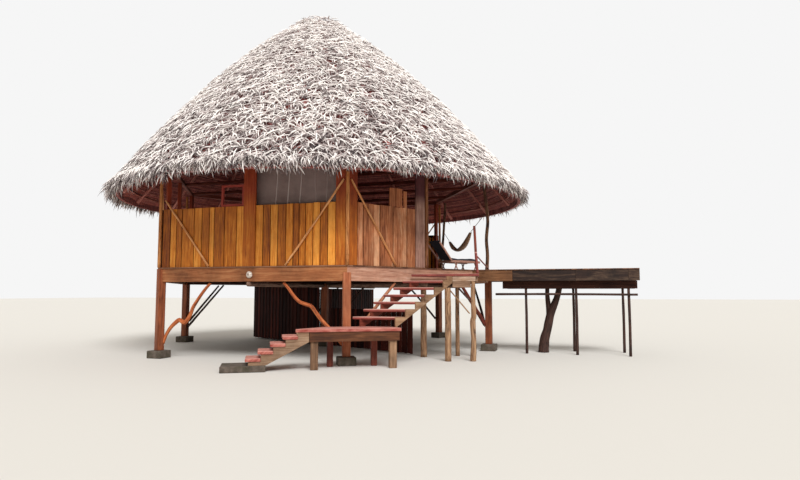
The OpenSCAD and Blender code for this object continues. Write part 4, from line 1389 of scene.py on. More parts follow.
    def window(self) -> None:
        """The small inner frame above the sill."""
        plan, wide, high = self.plan, 0.69, 0.57
        place, sill = plan.side(Corner.FRONT_LEFT), plan.sill
        u0 = plan.radius / 2 - self.pilaster / 2 - wide - 0.004
        b = plan.back + 0.03
        piece = Piece("window_frame_sawn", WINDOW_TIMBER, "red_board", 81)
        for u in (u0 + 0.03, u0 + wide - 0.03):
            piece.upright(u, b, sill, sill + high, 0.06, 0.058, SIDEWAYS, place, 0.004, 0.7)
        for z in (sill + 0.0275, sill + high - 0.03):
            piece.board((u0 + 0.06, b, z), (u0 + wide - 0.06, b, z), 0.054, 0.056, INWARD, place, 0.004, 0.6)
        piece.build("window_frame")

    def curtain(self) -> None:
        """The grey cloth behind the right half of the front opening: flat, with a few sharp folds.

        A fold is its place across the cloth, how far it leans, and how pale its crease is painted: a painted highlight
        along the fold.
        """
        plan = self.plan
        place = plan.side(Corner.FRONT_LEFT)
        u0 = plan.radius / 2 + plan.stud / 2 + 0.007
        u1 = plan.radius - self.edge - self.corner_board - 0.06
        wide, high = u1 - u0, plan.plate - plan.sill - 0.04
        b = plan.inner + plan.stud + 0.026
        folds = [(0.26, 0.03, 0.5), (0.41, 0.03, 0.6), (0.56, 0.035, 0.5), (0.76, -0.02, 0.15), (0.886, 0.015, 0.2)]
        fold_w, crease_w = 0.007, 0.0042
        cloth = bmesh.new()
        grain = cloth.loops.layers.uv.new("grain")
        wear_and_highlight = cloth.verts.layers.float.new("crease")
        bmesh.ops.create_grid(cloth, x_segments=260, y_segments=16, size=0.5)
        flat = {v: (v.co.x + 0.5, v.co.y + 0.5) for v in cloth.verts}
        for v, (s, t) in flat.items():
            ridge = sum(math.exp(-(((s - at - lean * t) / fold_w) ** 2)) for at, lean, _ in folds)
            # The pale crease along each fold is a painted highlight.
            v[wear_and_highlight] = sum(pale * math.exp(-(((s - at - lean * t) / crease_w) ** 2)) for at, lean, pale in folds)
            deep = 0.003 * math.sin(s * 31) + 0.006 * noise.noise((s * 7, t * 1.2, 3)) - 0.016 * min(1.0, ridge)
            v.co = place @ Vector((u0 + s * wide, b + max(-0.018, min(0.016, deep)), plan.sill + 0.008 + t * high))
        for loop in (loop for face in cloth.faces for loop in face.loops):
            s, t = flat[loop.vert]
            loop[grain].uv = (s * wide, t * high)
        data = mesh_of(cloth, "curtain_cloth")
        made = settle(data, "curtain_cloth", SCREEN, "screen_cloth", "curtain", smooth=True)
        thicken(made, 0.003)


@dataclass
class Roof:
    """The pole frame and the thatch: its bed, its laths and its leaves.

    A row of the fringe is its radius, its height and how steeply it hangs.
    """

    plan: Plan = PLAN
    eave_r: float = 6.515
    eave_z: float = 4.75
    apex_z: float = 11.05
    lean_x: float = 0.3
    foot: tuple[float, float] = (6.3, 4.6)
    knee: tuple[float, float] = (2.3, 9.1)
    tip: tuple[float, float] = (0.15, 10.35)
    clear: float = 0.17
    cap_share: float = 0.88
    cap_bulge: tuple[tuple[float, float], ...] = (
        (0.88, 0.0), (0.92, 0.05), (0.95, 0.12), (0.975, 0.22), (0.99, 0.24), (1.0, 0.15),
    )
    inset: float = 0.07
    first_course: float = 0.025
    leaf_pitch: float = 0.15
    leaf_gap: float = 0.22
    strip_l: tuple[float, float] = (0.3, 0.56)
    strip_w: tuple[float, float] = (0.034, 0.056)
    fringe: tuple[tuple[float, float, float], ...] = ((6.47, 4.84, 1.0), (6.42, 4.8, 1.2), (6.36, 4.76, 1.4))
    fringe_gap: float = 0.14
    ring_radii: tuple[float, ...] = (6.06, 5.06, 4.06, 3.06)
    lath_pitch: float = 0.088
    lath_r: float = 0.013
    sectors: tuple[str, ...] = ("walk_side", "back_right", "back_left", "left", "front", "right")

    def lean(self, z: float) -> float:
        """How far the roof has leaned at a height."""
        return -self.lean_x * max(0.0, z - self.eave_z) / (self.apex_z - self.eave_z)

    def frame_z(self, r: float) -> float:
        """Gives the height of the rafters.

        Args:
            r: Distance from the middle of the roof.

        Returns:
            The height of their axes there.
        """
        (r0, z0), (r1, z1), (r2, z2) = self.foot, self.knee, self.tip
        if r > r1:
            return z0 + (r0 - r) * (z1 - z0) / (r0 - r1)
        return z1 + (r1 - r) * (z2 - z1) / (r1 - r2)

    def outer(self, share: float) -> float:
        """Outline of the roof. The cap bulges a little, so that its top is blunt.

        Args:
            share: From 0 at the eave to 1 at the top.

        Returns:
            The radius of the outer face there.
        """
        if share >= 1:
            return 0.0
        bulge = 0.0
        for (s0, b0), (s1, b1) in zip(self.cap_bulge, self.cap_bulge[1:]):
            if s0 <= share <= s1:
                bulge = b0 + (b1 - b0) * (share - s0) / (s1 - s0)
        return self.eave_r * (1 - max(0.0, share) ** 1.031) ** (1 / 1.325) + bulge

    def z_at(self, share: float) -> float:
        """Height at a share of the roof."""
        return self.eave_z + share * (self.apex_z - self.eave_z)

    @property
    def cap_foot(self) -> tuple[float, float]:
        """Radius of the bed's inner face at the cap's foot, and the foot's height."""
        z = self.z_at(self.cap_share)
        rise = z - self.clear - self.knee[1]
        return self.knee[0] - rise * (self.knee[0] - self.tip[0]) / (self.tip[1] - self.knee[1]), z

    def build(self) -> None:
        """Builds the frame, then the thatch on it."""
        self.poles()
        self.bed()
        self.laths()
        self.leaves()

    def poles(self) -> None:
        """Rafters, the block at their tips, and the rings on them."""

        def point(turn: float, r: float) -> Vector:
            """Point of the frame at an angle and a radius."""
            z = self.frame_z(r)
            return self.plan.polar(turn, r, z) + Vector((self.lean(z), 0, 0))

        foot, knee = self.foot[0], self.knee[0]
        piece = Piece("rafter_poles", ROOF_POLE, "dark_timber", 91)
        for turn in range(0, 360, 20):
            piece.pole([point(turn, foot - 0.09), point(turn, knee + 0.09)], [0.046, 0.04], 10, 14)
        for turn in range(0, 360, 60):
            piece.pole([point(turn, knee - 0.08), point(turn, 0.25)], [0.042, 0.036], 10, 8)
        z = self.tip[1]
        lean = self.lean(z)
        piece.pole([(lean, 0, z - 0.26), (lean, 0, z + 0.07)], [0.168, 0.165], 20, 4, 0.02)
        piece.build("rafters", smooth=True)
        piece = Piece("ring_poles", ROOF_POLE, "dark_timber", 92)
        pitch = math.atan2(self.knee[1] - self.foot[1], foot - knee)
        for r, off, thick in [*((r, 0.075, 0.025) for r in self.ring_radii), (knee + 0.26, -0.1, 0.05)]:
            z = self.frame_z(r) + off * math.cos(pitch)
            centre = Vector((self.lean(z), 0, z))
            part = hoop(r + off * math.sin(pitch), centre, 8, thick, 72)
            for v in part.verts:
                turn = math.atan2(v.co.y, v.co.x - centre.x)
                v.co.z += 0.006 * noise.noise((3 * math.cos(turn) + r, 3 * math.sin(turn), 0))
            bmesh.ops.recalc_face_normals(part, faces=part.faces)
            piece.take(part, chart=round_hoop)
        piece.build("ring_purlins", smooth=True)

    def section(self) -> list[tuple[float, float]]:
        """The bed's section: up its outer face, down its inner one, round the drip edge."""
        shares = (0.0, 0.06, 0.14, 0.22, 0.31, 0.4, 0.49, 0.58, 0.66, 0.74, 0.81, self.cap_share)
        up = [(self.outer(s) - self.inset * 1.3, self.z_at(s) - self.inset * 0.3) for s in shares]
        radii = (self.cap_foot[0], 1.4, self.knee[0], 3.3, 4.3, 5.3, self.foot[0] - 0.02)
        down = [(r, self.frame_z(r) + self.clear) for r in radii]
        return up + down + [(self.foot[0] + 0.02, self.eave_z - 0.13), (self.eave_r - 0.1, self.eave_z - 0.12)]

    def bed(self) -> None:
        """Six sectors of packed thatch and the cap, each a spun section."""
        for i, name in enumerate(self.sectors):
            part = blank()
            start = self.plan.polar(60 * i, 1)
            ring = [part.verts.new((start.x * r, start.y * r, z)) for r, z in self.section()]
            face = part.faces.new(ring)
            whole, turn = [face, *face.edges, *ring], math.radians(60)
            bmesh.ops.spin(part, geom=whole, cent=(0, 0, 0), axis=UP, angle=turn, steps=10, use_duplicate=False)
            self.finish_bed(part, name)
        part = blank()
        r, z = self.cap_foot
        line = [(0.0, self.tip[1] + self.clear + 0.06), (r, z - 0.02)]
        for s in (self.cap_share, 0.92, 0.95, 0.975, 0.99):
            line.append((self.outer(s) - self.inset, self.z_at(s) - self.inset * 0.3))
        lathe(part, [*line, (0.0, self.apex_z - 0.12)], 48, 0.0005)
        self.finish_bed(part, "cap")

    def finish_bed(self, part: BMesh, name: str) -> None:
        """Leans a spun bed with the roof, turns its faces outward and makes its piece.

        Args:
            part: The bed.
            name: The sector's name.
        """
        for v in part.verts:
            v.co.x += self.lean(v.co.z)
        bmesh.ops.recalc_face_normals(part, faces=part.faces)
        piece = Piece(f"thatch_bed_{name}", BED, "palm_thatch", 5)
        piece.take(part, chart=self.slope_chart).build(f"thatch_{name}")

    def slope_chart(self, loop: BMLoop) -> tuple[float, float]:
        """Grain of the bed.

        Args:
            loop: A corner of one of its faces.

        Returns:
            Its place down the slope, and round the roof without a jump at the seam.
        """
        co = loop.vert.co
        turn = math.atan2(co.y, co.x)
        middle = loop.face.calc_center_median()
        if turn < -2 and middle.y > 0:
            turn += ROUND
        if turn > 2 and middle.y < 0:
            turn -= ROUND
        return Vector((co.x, co.y)).length * 1.5, turn * 4.0

    def laths(self) -> None:
        """Thin split laths under the thatch, a hand apart, that the leaves are tied to."""
        piece = Piece("thatch_laths", ROOF_POLE, "dark_timber", 93)
        r = self.foot[0] - 0.12
        k = 0
        while r > 0.8:
            z = self.frame_z(r) + self.clear - 0.012
            part = hoop(r, Vector((0, 0, z)), 4, self.lath_r, 60 if r > 2.4 else 32)
            for v in part.verts:
                v.co.z += 0.012 * noise.noise((v.co.x * 0.8, v.co.y * 0.8, k * 3.7))
                v.co.x += self.lean(z)
            bmesh.ops.recalc_face_normals(part, faces=part.faces)
            piece.take(part, chart=round_hoop)
            r -= self.lath_pitch
            k += 1
        piece.build()

    def leaf(
        self, rng: random.Random, length: float, width: float, lift: float, curl: float, bend: float
    ) -> BMesh:
        """One dry leaf strip along X: a flat, ribbed blade that tapers, lifts and bends.

        Args:
            rng: Source of its small changes.
            length: Its length.
            width: Its greatest width.
            lift: How high its middle rises.
            curl: How much higher or lower its tip is.
            bend: How far its tip swings sideways.

        Returns:
            The strip, closed, with its root at the origin.
        """
        part = blank()
        bmesh.ops.create_cone(part, cap_ends=True, segments=3, radius1=1.0, radius2=0.0, depth=1.0)
        ribs = [e for e in part.edges if abs(e.verts[0].co.z - e.verts[1].co.z) > 0.5]
        bmesh.ops.subdivide_edges(part, edges=ribs, cuts=2)
        roll = rng.uniform(-1.1, 1.1)
        for v in part.verts:
            s = v.co.z + 0.5
            flat = Vector((v.co.x, v.co.y))
            wide = width / 2 * (0.6 + 1.2 * s - 1.6 * s * s) if s < 0.99 else 0.0
            turn = math.atan2(flat.y, flat.x) if flat.length > 1e-6 else 0.0
            y, z = math.cos(turn) * wide, math.sin(turn) * min(0.008, wide)
            c, q = math.cos(roll * s), math.sin(roll * s)
            rise = lift * 4 * s * (1 - s) + curl * s * s + y * q + z * c
            v.co = Vector((length * s, bend * s * s + y * c - z * q, rise))
        return part

    def bundle(self, seed: int, hang: float, count: int = 7) -> Mesh:
        """A handful of leaf strips that fan out from one tie, the lower ones darker as painted shade under the upper
        ones.

        Args:
            seed: Start of its random numbers.
            hang: From 0 for strips that lie about to 1 for strips that hang straight.
            count: How many strips.

        Returns:
            The bundle's mesh, down the slope along X, with its outside along Z.
        """
        rng = random.Random(seed)
        piece = Piece(f"bundle_{seed}", LEAVES, "palm_thatch", seed)
        for k in range(count):
            level = k / (count - 1)
            length = rng.uniform(*self.strip_l) * (1 - 0.2 * level)
            yaw = max(-1.5, min(1.5, rng.gauss(0, 0.75 * (1 - 0.7 * hang))))
            width, lift = rng.uniform(*self.strip_w), rng.uniform(0.01, 0.07)
            curl, bend = rng.uniform(-0.05, 0.09) * (1 - hang), rng.gauss(0, 0.11) * (1 - 0.6 * hang)
            part = self.leaf(rng, length, width, lift, curl, bend)
            place = moved(rng.uniform(-0.1, 0.1), rng.uniform(-0.13, 0.13), 0.05 * level + rng.uniform(0.0, 0.02))
            place = place @ Matrix.Rotation(yaw, 4, "Z") @ Matrix.Rotation(rng.uniform(-0.14, 0.06), 4, "Y")
            # Tone rises with the strip's level: the lower strips are darker as painted shade beneath the pale ones on
            # top.
            piece.take(part, place, min(0.95, max(0.0, 0.72 * level + rng.uniform(-0.12, 0.25))))
        return mesh_of(piece.mesh, piece.name)

    def leaves(self) -> None:
        """Covers the roof in courses of leaf bundles, and hangs a fringe at the eave."""
        lying = [self.bundle(100 + k, 0.0) for k in range(16)]
        hanging = [self.bundle(200 + k, 1.0) for k in range(8)]
        parts = {name: blank() for name in (*self.sectors, "cap")}
        rng = random.Random(17)

        def lay(name: str, bundle: Mesh, place: Matrix) -> None:
            """Adds one bundle to a sector.

            Args:
                name: The sector's name.
                bundle: The bundle's mesh.
                place: Where it goes.
            """
            copy = bundle.copy()
            copy.transform(place)
            parts[name].from_mesh(copy)
            bpy.data.meshes.remove(copy)

        share, step = self.first_course, 0.002
        while share < 0.985:
            z, r = self.z_at(share), self.outer(share) - self.inset
            rise = (self.apex_z - self.eave_z) * step
            run = self.outer(share + step) - self.outer(share)
            slope = Vector((run, 0, rise)).normalized()
            down, out = -slope, Vector((slope.z, 0, -slope.x))
            frame = framed(down, out.cross(down), out)
            count = max(5, round(ROUND * max(r, 0.1) / self.leaf_gap))
            for k in range(count):
                turn = 360 * (k + rng.uniform(-0.5, 0.5)) / count
                spot = Vector((r, 0, z)) + slope * rng.uniform(-0.07, 0.07)
                place = moved(self.lean(z), 0, 0) @ turned(turn) @ Matrix.Translation(spot)
                place = place @ frame @ Matrix.Rotation(rng.uniform(-0.3, 0.3), 4, "Z")
                name = self.sectors[int(turn % 360 // 60)] if share < self.cap_share else "cap"
                lay(name, rng.choice(lying), place)
            share += self.leaf_pitch / (math.hypot(run, rise) / step)
        for r, z, pitch in self.fringe:
            count = round(ROUND * r / self.fringe_gap)
            for k in range(count):
                turn = 360 * (k + rng.uniform(-0.5, 0.5)) / count
                tilt = pitch + rng.uniform(-0.25, 0.15)
                down, out = Vector((math.cos(tilt), 0, -math.sin(tilt))), Vector((math.sin(tilt), 0, math.cos(tilt)))
                size = rng.uniform(0.4, 0.8) * (0.6 if 5 < turn % 360 < 120 else 1.3 if 185 < turn % 360 < 258 else 1.0)
                place = turned(turn) @ moved(r, 0, z + rng.uniform(-0.03, 0.05)) @ framed(down, out.cross(down), out)
                lay(self.sectors[int(turn % 360 // 60)], rng.choice(hanging), place @ Matrix.Diagonal((size, 1, 1, 1)))
        for name, mesh in parts.items():
            settle(mesh_of(mesh, f"leaves_{name}"), f"leaves_{name}", LEAVES, "palm_thatch")
        for bundle in lying + hanging:
            bpy.data.meshes.remove(bundle)


@dataclass
class Veranda:
    """The two crooked poles of the veranda."""

    plan: Plan = PLAN
    roof_gap: float = 0.09

    def build(self, roof: Roof) -> None:
        """Builds the poles.

        Args:
            roof: The roof whose rafters they reach.
        """
        floor = self.plan.floor
        top = roof.frame_z(self.plan.radius - 0.18) - self.roof_gap
        line = [
            (5.4, -0.02, floor), (5.4, -0.02, floor + 0.05), (5.42, -0.016, 2.9), (5.388, 0.006, 3.4),
            (5.436, 0.012, 3.9), (5.404, 0, 4.4), (5.354, -0.006, 4.9), (5.33, 0, top),
        ]
        far = [(2.85, 4.45, floor + 0.005), (2.975, 4.425, 3.8), (3.08, 4.39, self.plan.plate - 0.01)]
        piece = Piece("veranda_poles_crooked", VERANDA_POLE, "peeled_pole", 101)
        piece.pole(line, [0.056, 0.056, 0.052, 0.05, 0.05, 0.048, 0.046, 0.044], 12, 32, 0.07, 0.5)
        piece.pole(far, [0.052, 0.048, 0.044], 12, 16, 0.07).build("veranda_poles", smooth=True)


@dataclass
class Walkway:
    """The raised walkway: planks across it, side boards, beams, a rail, and posts."""

    plan: Plan = PLAN
    width: float = 1.5
    bay: float = 1.4
    bays: int = 3
    plank: float = 0.15
    deck: float = 0.03
    post_in: float = 0.29
    far_back: float = 0.106
    trunk_x: float = 1.54
    rim_d: float = 0.31
    rim_t: float = 0.045
    beam_y: float = 0.53
    beam_d: float = 0.22
    shade_from: float = 6.25

    @property
    def end(self) -> float:
        """How far the walkway reaches."""
        return self.plan.radius + self.bays * self.bay

    def build(self) -> None:
        """Builds the walkway."""
        plan, thick = self.plan, self.rim_t
        half = self.width / 2
        top = plan.rim_top
        edge = (plan.apothem + plan.lip) / math.cos(math.pi / 6)
        slope = 1 / math.sqrt(3)
        piece = Piece("walk_planks", FLOOR_BOARDS, "floor_board", 111)
        count = round((self.end - edge) / self.plank)
        step = (self.end - edge) / count
        for k in range(count):
            x0, x1 = edge + k * step + 0.002, edge + (k + 1) * step - 0.002
            x, z = (x0 + x1) / 2, top + self.deck / 2
            piece.board((x, -half, z), (x, half, z), x1 - x0, self.deck, SIDEWAYS, ease=0.003)
        for way in (-1, 1):
            inner = [(edge - 0.003, way * 0.006), (edge - 0.003, way * half), (edge - half * slope, way * half)]
            piece.slab(inner, self.deck, moved(0, 0, top), 0.0)
        piece.build("walk_deck")
        side, z = half - 0.02, top - self.rim_d
        # Beyond the first stretch the side boards take a dark mottled finish: painted shade on the far part of the
        # walkway.
        joints = [self.shade_from, *(self.post_x(k) for k in range(2, self.bays + 1)), self.end]
        for name, finish, nodes, spans in (
            ("walk_sides_light", LIGHT_SIDE, [], [(0.0, self.shade_from)]),
            ("walk_sides_shaded", SHADED_MOTTLED_TIMBER, ["walk_frame"], list(zip(joints, joints[1:]))),
        ):
            piece = Piece(name, finish, "red_brown_timber", 112)
            for y0 in (-side, side - thick):
                for x0, x1 in spans:
                    a, b = (max(x0, plan.radius - abs(y) * slope) for y in (y0, y0 + thick))
                    outline = [(a, y0), (x1 - 0.002, y0), (x1 - 0.002, y0 + thick), (b, y0 + thick)]
                    piece.slab(outline, self.rim_d, moved(0, 0, z), 0.004)
            piece.build(*nodes)
        piece = Piece("walk_beams", DARK_TIMBER, "red_brown_timber", 114)
        middle = z + self.rim_d / 2
        for k in range(1, self.bays + 1):
            x = self.post_x(k)
            piece.board((x, 0.047 - side, middle), (x, side - 0.047, middle), 0.06, self.rim_d, SIDEWAYS, tone=0.3)
        deep, start = self.beam_d, plan.radius + 0.44
        middle = z - deep / 2 - 0.001
        for y in (-self.beam_y, self.beam_y):
            piece.board((start, y, middle), (self.end - 0.06, y, middle), 0.06, deep - 0.002, tone=0.2)
        piece.build()
        y = -self.beam_y - 0.074
        rail = [(plan.radius + 0.24, y, 1.7), (plan.radius + 2.0, y + 0.004, 1.703), (self.end - 0.06, y, 1.69)]
        piece = Piece("walk_rail", DARK_BRANCH, "red_brown_timber", 115)
        piece.pole(rail, [0.033, 0.032, 0.03], 10, 20, 0.08).build(smooth=True)
        self.posts(z - deep)

    def post_x(self, k: int) -> float:
        """Distance of a pair of posts from the middle of the plan."""
        return self.plan.radius + k * self.bay - self.post_in

    def posts(self, top: float) -> None:
        """Pairs of thin poles, the far one set back, and the forked trunk.

        Args:
            top: Height of the poles' tops.
        """
        y = self.beam_y
        piece = Piece("walk_poles", DARK_BRANCH, "peeled_pole", 113)
        for k in range(1, self.bays + 1):
            for way, x in ((-1, self.post_x(k)), (1, self.post_x(k) - self.far_back)):
                line = [(x, way * y, 0), (x + 0.006, way * y, 1), (x, way * y, top)]
                piece.pole(line, [0.04, 0.038, 0.036], 10, 12, 0.06)
        base = Vector((self.plan.radius + self.trunk_x, 0, 0))
        high = self.plan.rim_top
        trunk = [
            (0, 0, 0), (0, 0, 0.08), (0.02, 0, 0.25), (0.055, 0, 0.46), (0.112, 0, 0.64), (0.162, 0, 0.883),
            (0.23, 0, 1.16), (0.407, 0, 1.586), (0.5, 0, 1.98), (0.545, 0, high - 0.06), (0.545, 0, high - 0.004),
        ]
        fork = [
            (0.19, 0, 1.0), (0.172, 0.01, 1.25), (0.141, 0, 1.642), (0.148, 0, 2.0), (0.155, 0, high - 0.06),
            (0.155, 0, high - 0.004),
        ]
        radii = [0.16, 0.154, 0.142, 0.136, 0.132, 0.13, 0.118, 0.088, 0.082, 0.078, 0.077]
        piece.pole([base + Vector(p) for p in trunk], radii, 14, 36, 0.08)
        piece.pole([base + Vector(p) for p in fork], [0.096, 0.076, 0.066, 0.062, 0.06, 0.059], 12, 20, 0.08)
        piece.build("walk_posts", smooth=True)


@dataclass
class Landing:
    """The landing at the front corner with its legs, and the lower flight that climbs to it."""

    plan: Plan = PLAN
    top: float = 0.93
    front: float = 0.85
    thick: float = 0.075
    rim: float = 0.635
    pad: float = 0.14
    first: float = -1.277
    going: float = 0.27
    nosing: float = 0.07
    flight_w: float = 0.74
    tread: float = 0.075
    stringer: float = 0.045

    @property
    def place(self) -> Matrix:
        """Frame at the front corner: X along the landing, Y towards the house."""
        return turned(30) @ moved(0, -self.plan.radius, 0)

    @property
    def rise(self) -> float:
        """Height of one riser of the lower flight."""
        return (self.top - self.pad) / 5

    def build(self) -> None:
        """Builds the landing and the lower flight."""
        front, place, low = self.front, self.place, self.top - self.thick
        outline = [(-1.27, -front), (1.17, -front), (1.01, -0.2), (0.6, -0.03), (0.13, -0.062), (-0.55, -0.062)]
        piece = Piece("landing_top", RED_PAINT, "red_paint", 121)
        piece.slab(outline, self.thick, place @ moved(0, 0, low), 0.008, 0.6).build("landing")
        y, z = -front + 0.046, (self.rim + self.top - self.thick) / 2
        piece = Piece("landing_fascia_board", LANDING_TIMBER, "red_paint", 122)
        piece.board((-0.95, y, z), (1.13, y, z), 0.042, low - self.rim, INWARD, place, 0.005, 0.45).build()
        for name, finish, nodes, wide, y, spots in (
            ("landing_legs_front", PALE_TIMBER, ["landing_legs"], 0.17, -front + 0.154, (-0.835, 0.99)),
            ("landing_legs_back", LEG_TIMBER, [], 0.14, -0.16, (-0.42, 0.64)),
        ):
            piece = Piece(name, finish, "pale_timber", 123)
            for x in spots:
                piece.upright(x, y, 0, low, wide, wide, INWARD, place, 0.01)
            piece.build(*nodes)
        self.flight()

    def flight(self) -> None:
        """Saw-tooth stringers and red treads."""
        front, low = self.front, self.top - self.thick
        back = self.first + self.nosing
        side = [(-0.96, self.rim), (-0.96, low), (back, low)]
        for k in range(1, 5):
            z = self.top - self.rise * k - self.tread
            side += [(back - self.going * (k - 1), z), (back - self.going * k, z)]
        side += [(back - 4 * self.going, self.pad), (-1.905, self.pad)]
        piece = Piece("lower_stringers", FASCIA_TIMBER, "pale_timber", 124)
        for y in (-front + 0.028, -front + self.flight_w - self.stringer):
            piece.slab(side, self.stringer, self.place @ moved(0, y + self.stringer, 0) @ turned(90, "X"), 0.004, 0.9)
        piece.build("lower_flight")
        piece = Piece("lower_treads", RED_PAINT, "red_paint", 125)
        for k in range(1, 5):
            deep = self.going + self.nosing - 0.002
            x = self.first - self.going * (5 - k) + deep / 2
            z = self.pad + self.rise * k - self.tread / 2
            ends = (x, -front, z), (x, -front + self.flight_w, z)
            piece.board(*ends, deep, self.tread, SIDEWAYS, self.place, 0.012)
        piece.build()


@dataclass
class UpperStair:
    """The upper flight beside the right wall, its platform, the posts below and the newel."""

    plan: Plan = PLAN
    landing: float = 0.93
    rise: float = 0.178
    last_rise: float = 0.186
    going: float = 0.331
    treads: int = 6
    length: float = 1.068
    tread: float = 0.065
    stringer: float = 0.045
    right: float = 5.68
    slant: float = 0.23
    back: float = -1.75
    planks: int = 7

    @property
    def heading(self) -> Vector:
        """The way that the flight climbs, seen from above."""
        return self.plan.polar(60, 1)

    @property
    def start(self) -> Vector:
        """Where the first tread begins."""
        return self.plan.corner(Corner.FRONT, self.plan.radius) + 0.083 * self.heading + 0.1 * self.plan.polar(330, 1)

    @property
    def platform_z(self) -> float:
        """Height of the platform."""
        return self.plan.floor - self.last_rise

    @property
    def head(self) -> Vector:
        """Front left corner of the platform, where the flight ends."""
        return self.start + self.treads * self.going * self.heading

    def left(self, y: float) -> float:
        """Left edge of the platform at a depth."""
        return self.head.x + (y - self.head.y) / math.tan(math.radians(60))

    def tread_z(self, k: int) -> float:
        """Height of a tread's top."""
        return self.platform_z - (self.treads + 1 - k) * self.rise

    def build(self) -> None:
        """Builds the flight, the platform, its posts and the newel."""
        piece = Piece("upper_treads_red", DARK_PAINT, "red_paint", 131)
        run = (self.going + 0.02) * self.heading
        reach = Vector((self.length, 0, 0))
        for k in range(1, self.treads + 1):
            p = self.start + (k - 1) * self.going * self.heading
            place = moved(0, 0, self.tread_z(k) - self.tread)
            piece.slab([p, p + reach, p + reach + run, p + run], self.tread, place, 0.014)
        piece.build("upper_treads")
        self.cut_stringer("upper_stringer_right", PALE_TIMBER, self.length, 0.0)
        # The left stringer takes the darker leg timber: painted shade beneath the treads.
        self.cut_stringer("upper_stringer_left", LEG_TIMBER, 0.17, self.tread)
        self.platform()
        self.posts()

    def cut_stringer(self, name: str, finish: Finish, shift: float, depth: float) -> None:
        """One saw-tooth stringer.

        Args:
            name: The piece's name.
            finish: What it is dressed in.
            shift: Where its near face meets the first tread.
            depth: How far its teeth end below the treads' tops: none for the outer one, which closes their ends.
        """
        slope = self.rise / self.going
        end = self.treads * self.going + 0.014
        last, foot = end - 0.19, 0.13 if depth else 0.02
        side = [(0.02, self.landing)]
        for k in range(1, self.treads + 1):
            x, z = (k - 1) * self.going + 0.02, self.tread_z(k) - depth
            side += [(x, z), (min(x + self.going, end if depth else last), z)]
        if not depth:
            side += [(last, self.platform_z - self.tread), (end, self.platform_z - self.tread)]
        side += [(end, self.landing + (end - foot) * slope), (foot + 0.025, self.landing)]
        place = Matrix.Translation(self.start + Vector((shift, 0, 0))) @ turned(60) @ turned(90, "X")
        piece = Piece(name, finish, "pale_timber", 132)
        piece.slab(side, self.stringer, place, 0.004, 0.5).build(*([] if depth else ["upper_stringers"]))

    def platform(self) -> None:
        """The platform's planks, whose right ends slant back, and the boards under them."""
        p, back = self.head, self.back
        top = self.platform_z - self.tread
        piece = Piece("platform_planks", DARK_PAINT, "red_paint", 133)
        step = (back - p.y) / self.planks
        for k in range(self.planks):
            y0, y1 = p.y + k * step + (0.003 if k else 0), p.y + (k + 1) * step
            a, b = (self.right - self.slant * (y - p.y) / (back - p.y) for y in (y0, y1))
            outline = [(self.left(y0), y0), (a, y0), (b, y1), (self.left(y1), y1)]
            piece.slab(outline, self.tread, moved(0, 0, top), 0.005)
        piece.build("platform")
        piece = Piece("platform_frame", FRAME_TIMBER, "pale_timber", 134)
        for x0, y0, x1, y1, down, wide, deep, across, tone in (
            (4.978, p.y + 0.0425, 5.581, p.y + 0.0425, 0.062, 0.045, 0.124, INWARD, 0.7),
            (4.978, p.y + 0.0455, 5.453, p.y + 0.0455, 0.21, 0.039, 0.168, INWARD, 0.35),
            (5.608, p.y + 0.078, 5.412, back - 0.078, 0.062, 0.045, 0.124, SIDEWAYS, 0.5),
            (self.left(back) + 0.06, back - 0.0425, self.right - 0.28, back - 0.0425, 0.075, 0.045, 0.15, INWARD, 0.4),
        ):
            piece.board((x0, y0, top - down), (x1, y1, top - down), wide, deep, across, tone=tone)
        piece.build()

    def posts(self) -> None:
        """Round posts under the platform and the stringer, and the red newel with its rail."""
        plan, p = self.plan, self.head
        top = self.platform_z - self.tread - 0.15
        front, back, near = p.y + 0.055, self.back - 0.043, self.left(self.back) + 0.24
        x, y, _ = plan.polar(330, plan.apothem - 0.13)
        piece = Piece("platform_posts", PEELED, "peeled_pole", 135)
        straight = [(4.887, -3.157, 0), (4.892, -3.157, 1.0), (4.887, -3.157, 1.87)]
        crooked = [
            (5.5, front, 0), (5.5, front, 0.06), (5.52, front, 0.5), (5.492, front, 1.0), (5.528, front, 1.15),
            (5.506, front, 1.6), (5.518, front, 2.0), (5.518, front, 2.046),
        ]
        for run in (
            (straight, [0.085, 0.08, 0.078], 14, 18, 0.07, 0.7),
            (crooked, [0.074, 0.073, 0.068, 0.062, 0.068, 0.056, 0.052, 0.052], 14, 36, 0.09, 0.8),
            ([(5.3, back, 0), (5.3, back, top)], [0.062, 0.054], 12, 12, 0.08, 0.4),
            ([(near, back, 0), (near, back, top)], [0.062, 0.054], 12, 12, 0.08, 0.4),
            ([(x, y, 0), (x, y, plan.rim_low - 0.13)], [0.09, 0.078], 14, 18, 0.08, 0.6),
            ([(4.925, front - 0.06, 1.8), (5.43, front - 0.06, 1.21)], [0.018, 0.017], 8, 8, 0.1, 0.9),
        ):
            piece.pole(*run)
        piece.build("natural_posts", smooth=True)
        piece = Piece("platform_brace_dark", DARK_BRANCH, "peeled_pole", 137)
        brace = [(5.14, front - 0.024, 1.86), (5.44, front - 0.024, 1.536)]
        piece.pole(brace, [0.024, 0.023], 10, 8, 0.1).build(smooth=True)
        foot = Vector((self.right - 0.05, p.y + 0.06, self.platform_z + 0.004))
        middle = foot + Vector((-0.04, 0.014, 0.56))
        rail = [foot + Vector((-0.03, 0.09, 0.46)), Vector((5.47, -0.16, plan.floor + 0.04))]
        piece = Piece("newel_foot", DARK_PAINT, "red_paint", 136)
        piece.pole([foot, middle], [0.038, 0.035], 12, 10, 0.06)
        piece.pole(rail, [0.02, 0.019], 10, 12, 0.06).build("newel", smooth=True)
        piece = Piece("newel_head", RED_BRANCH, "red_paint", 138)
        head = foot + Vector((-0.075, 0.03, 1.24))
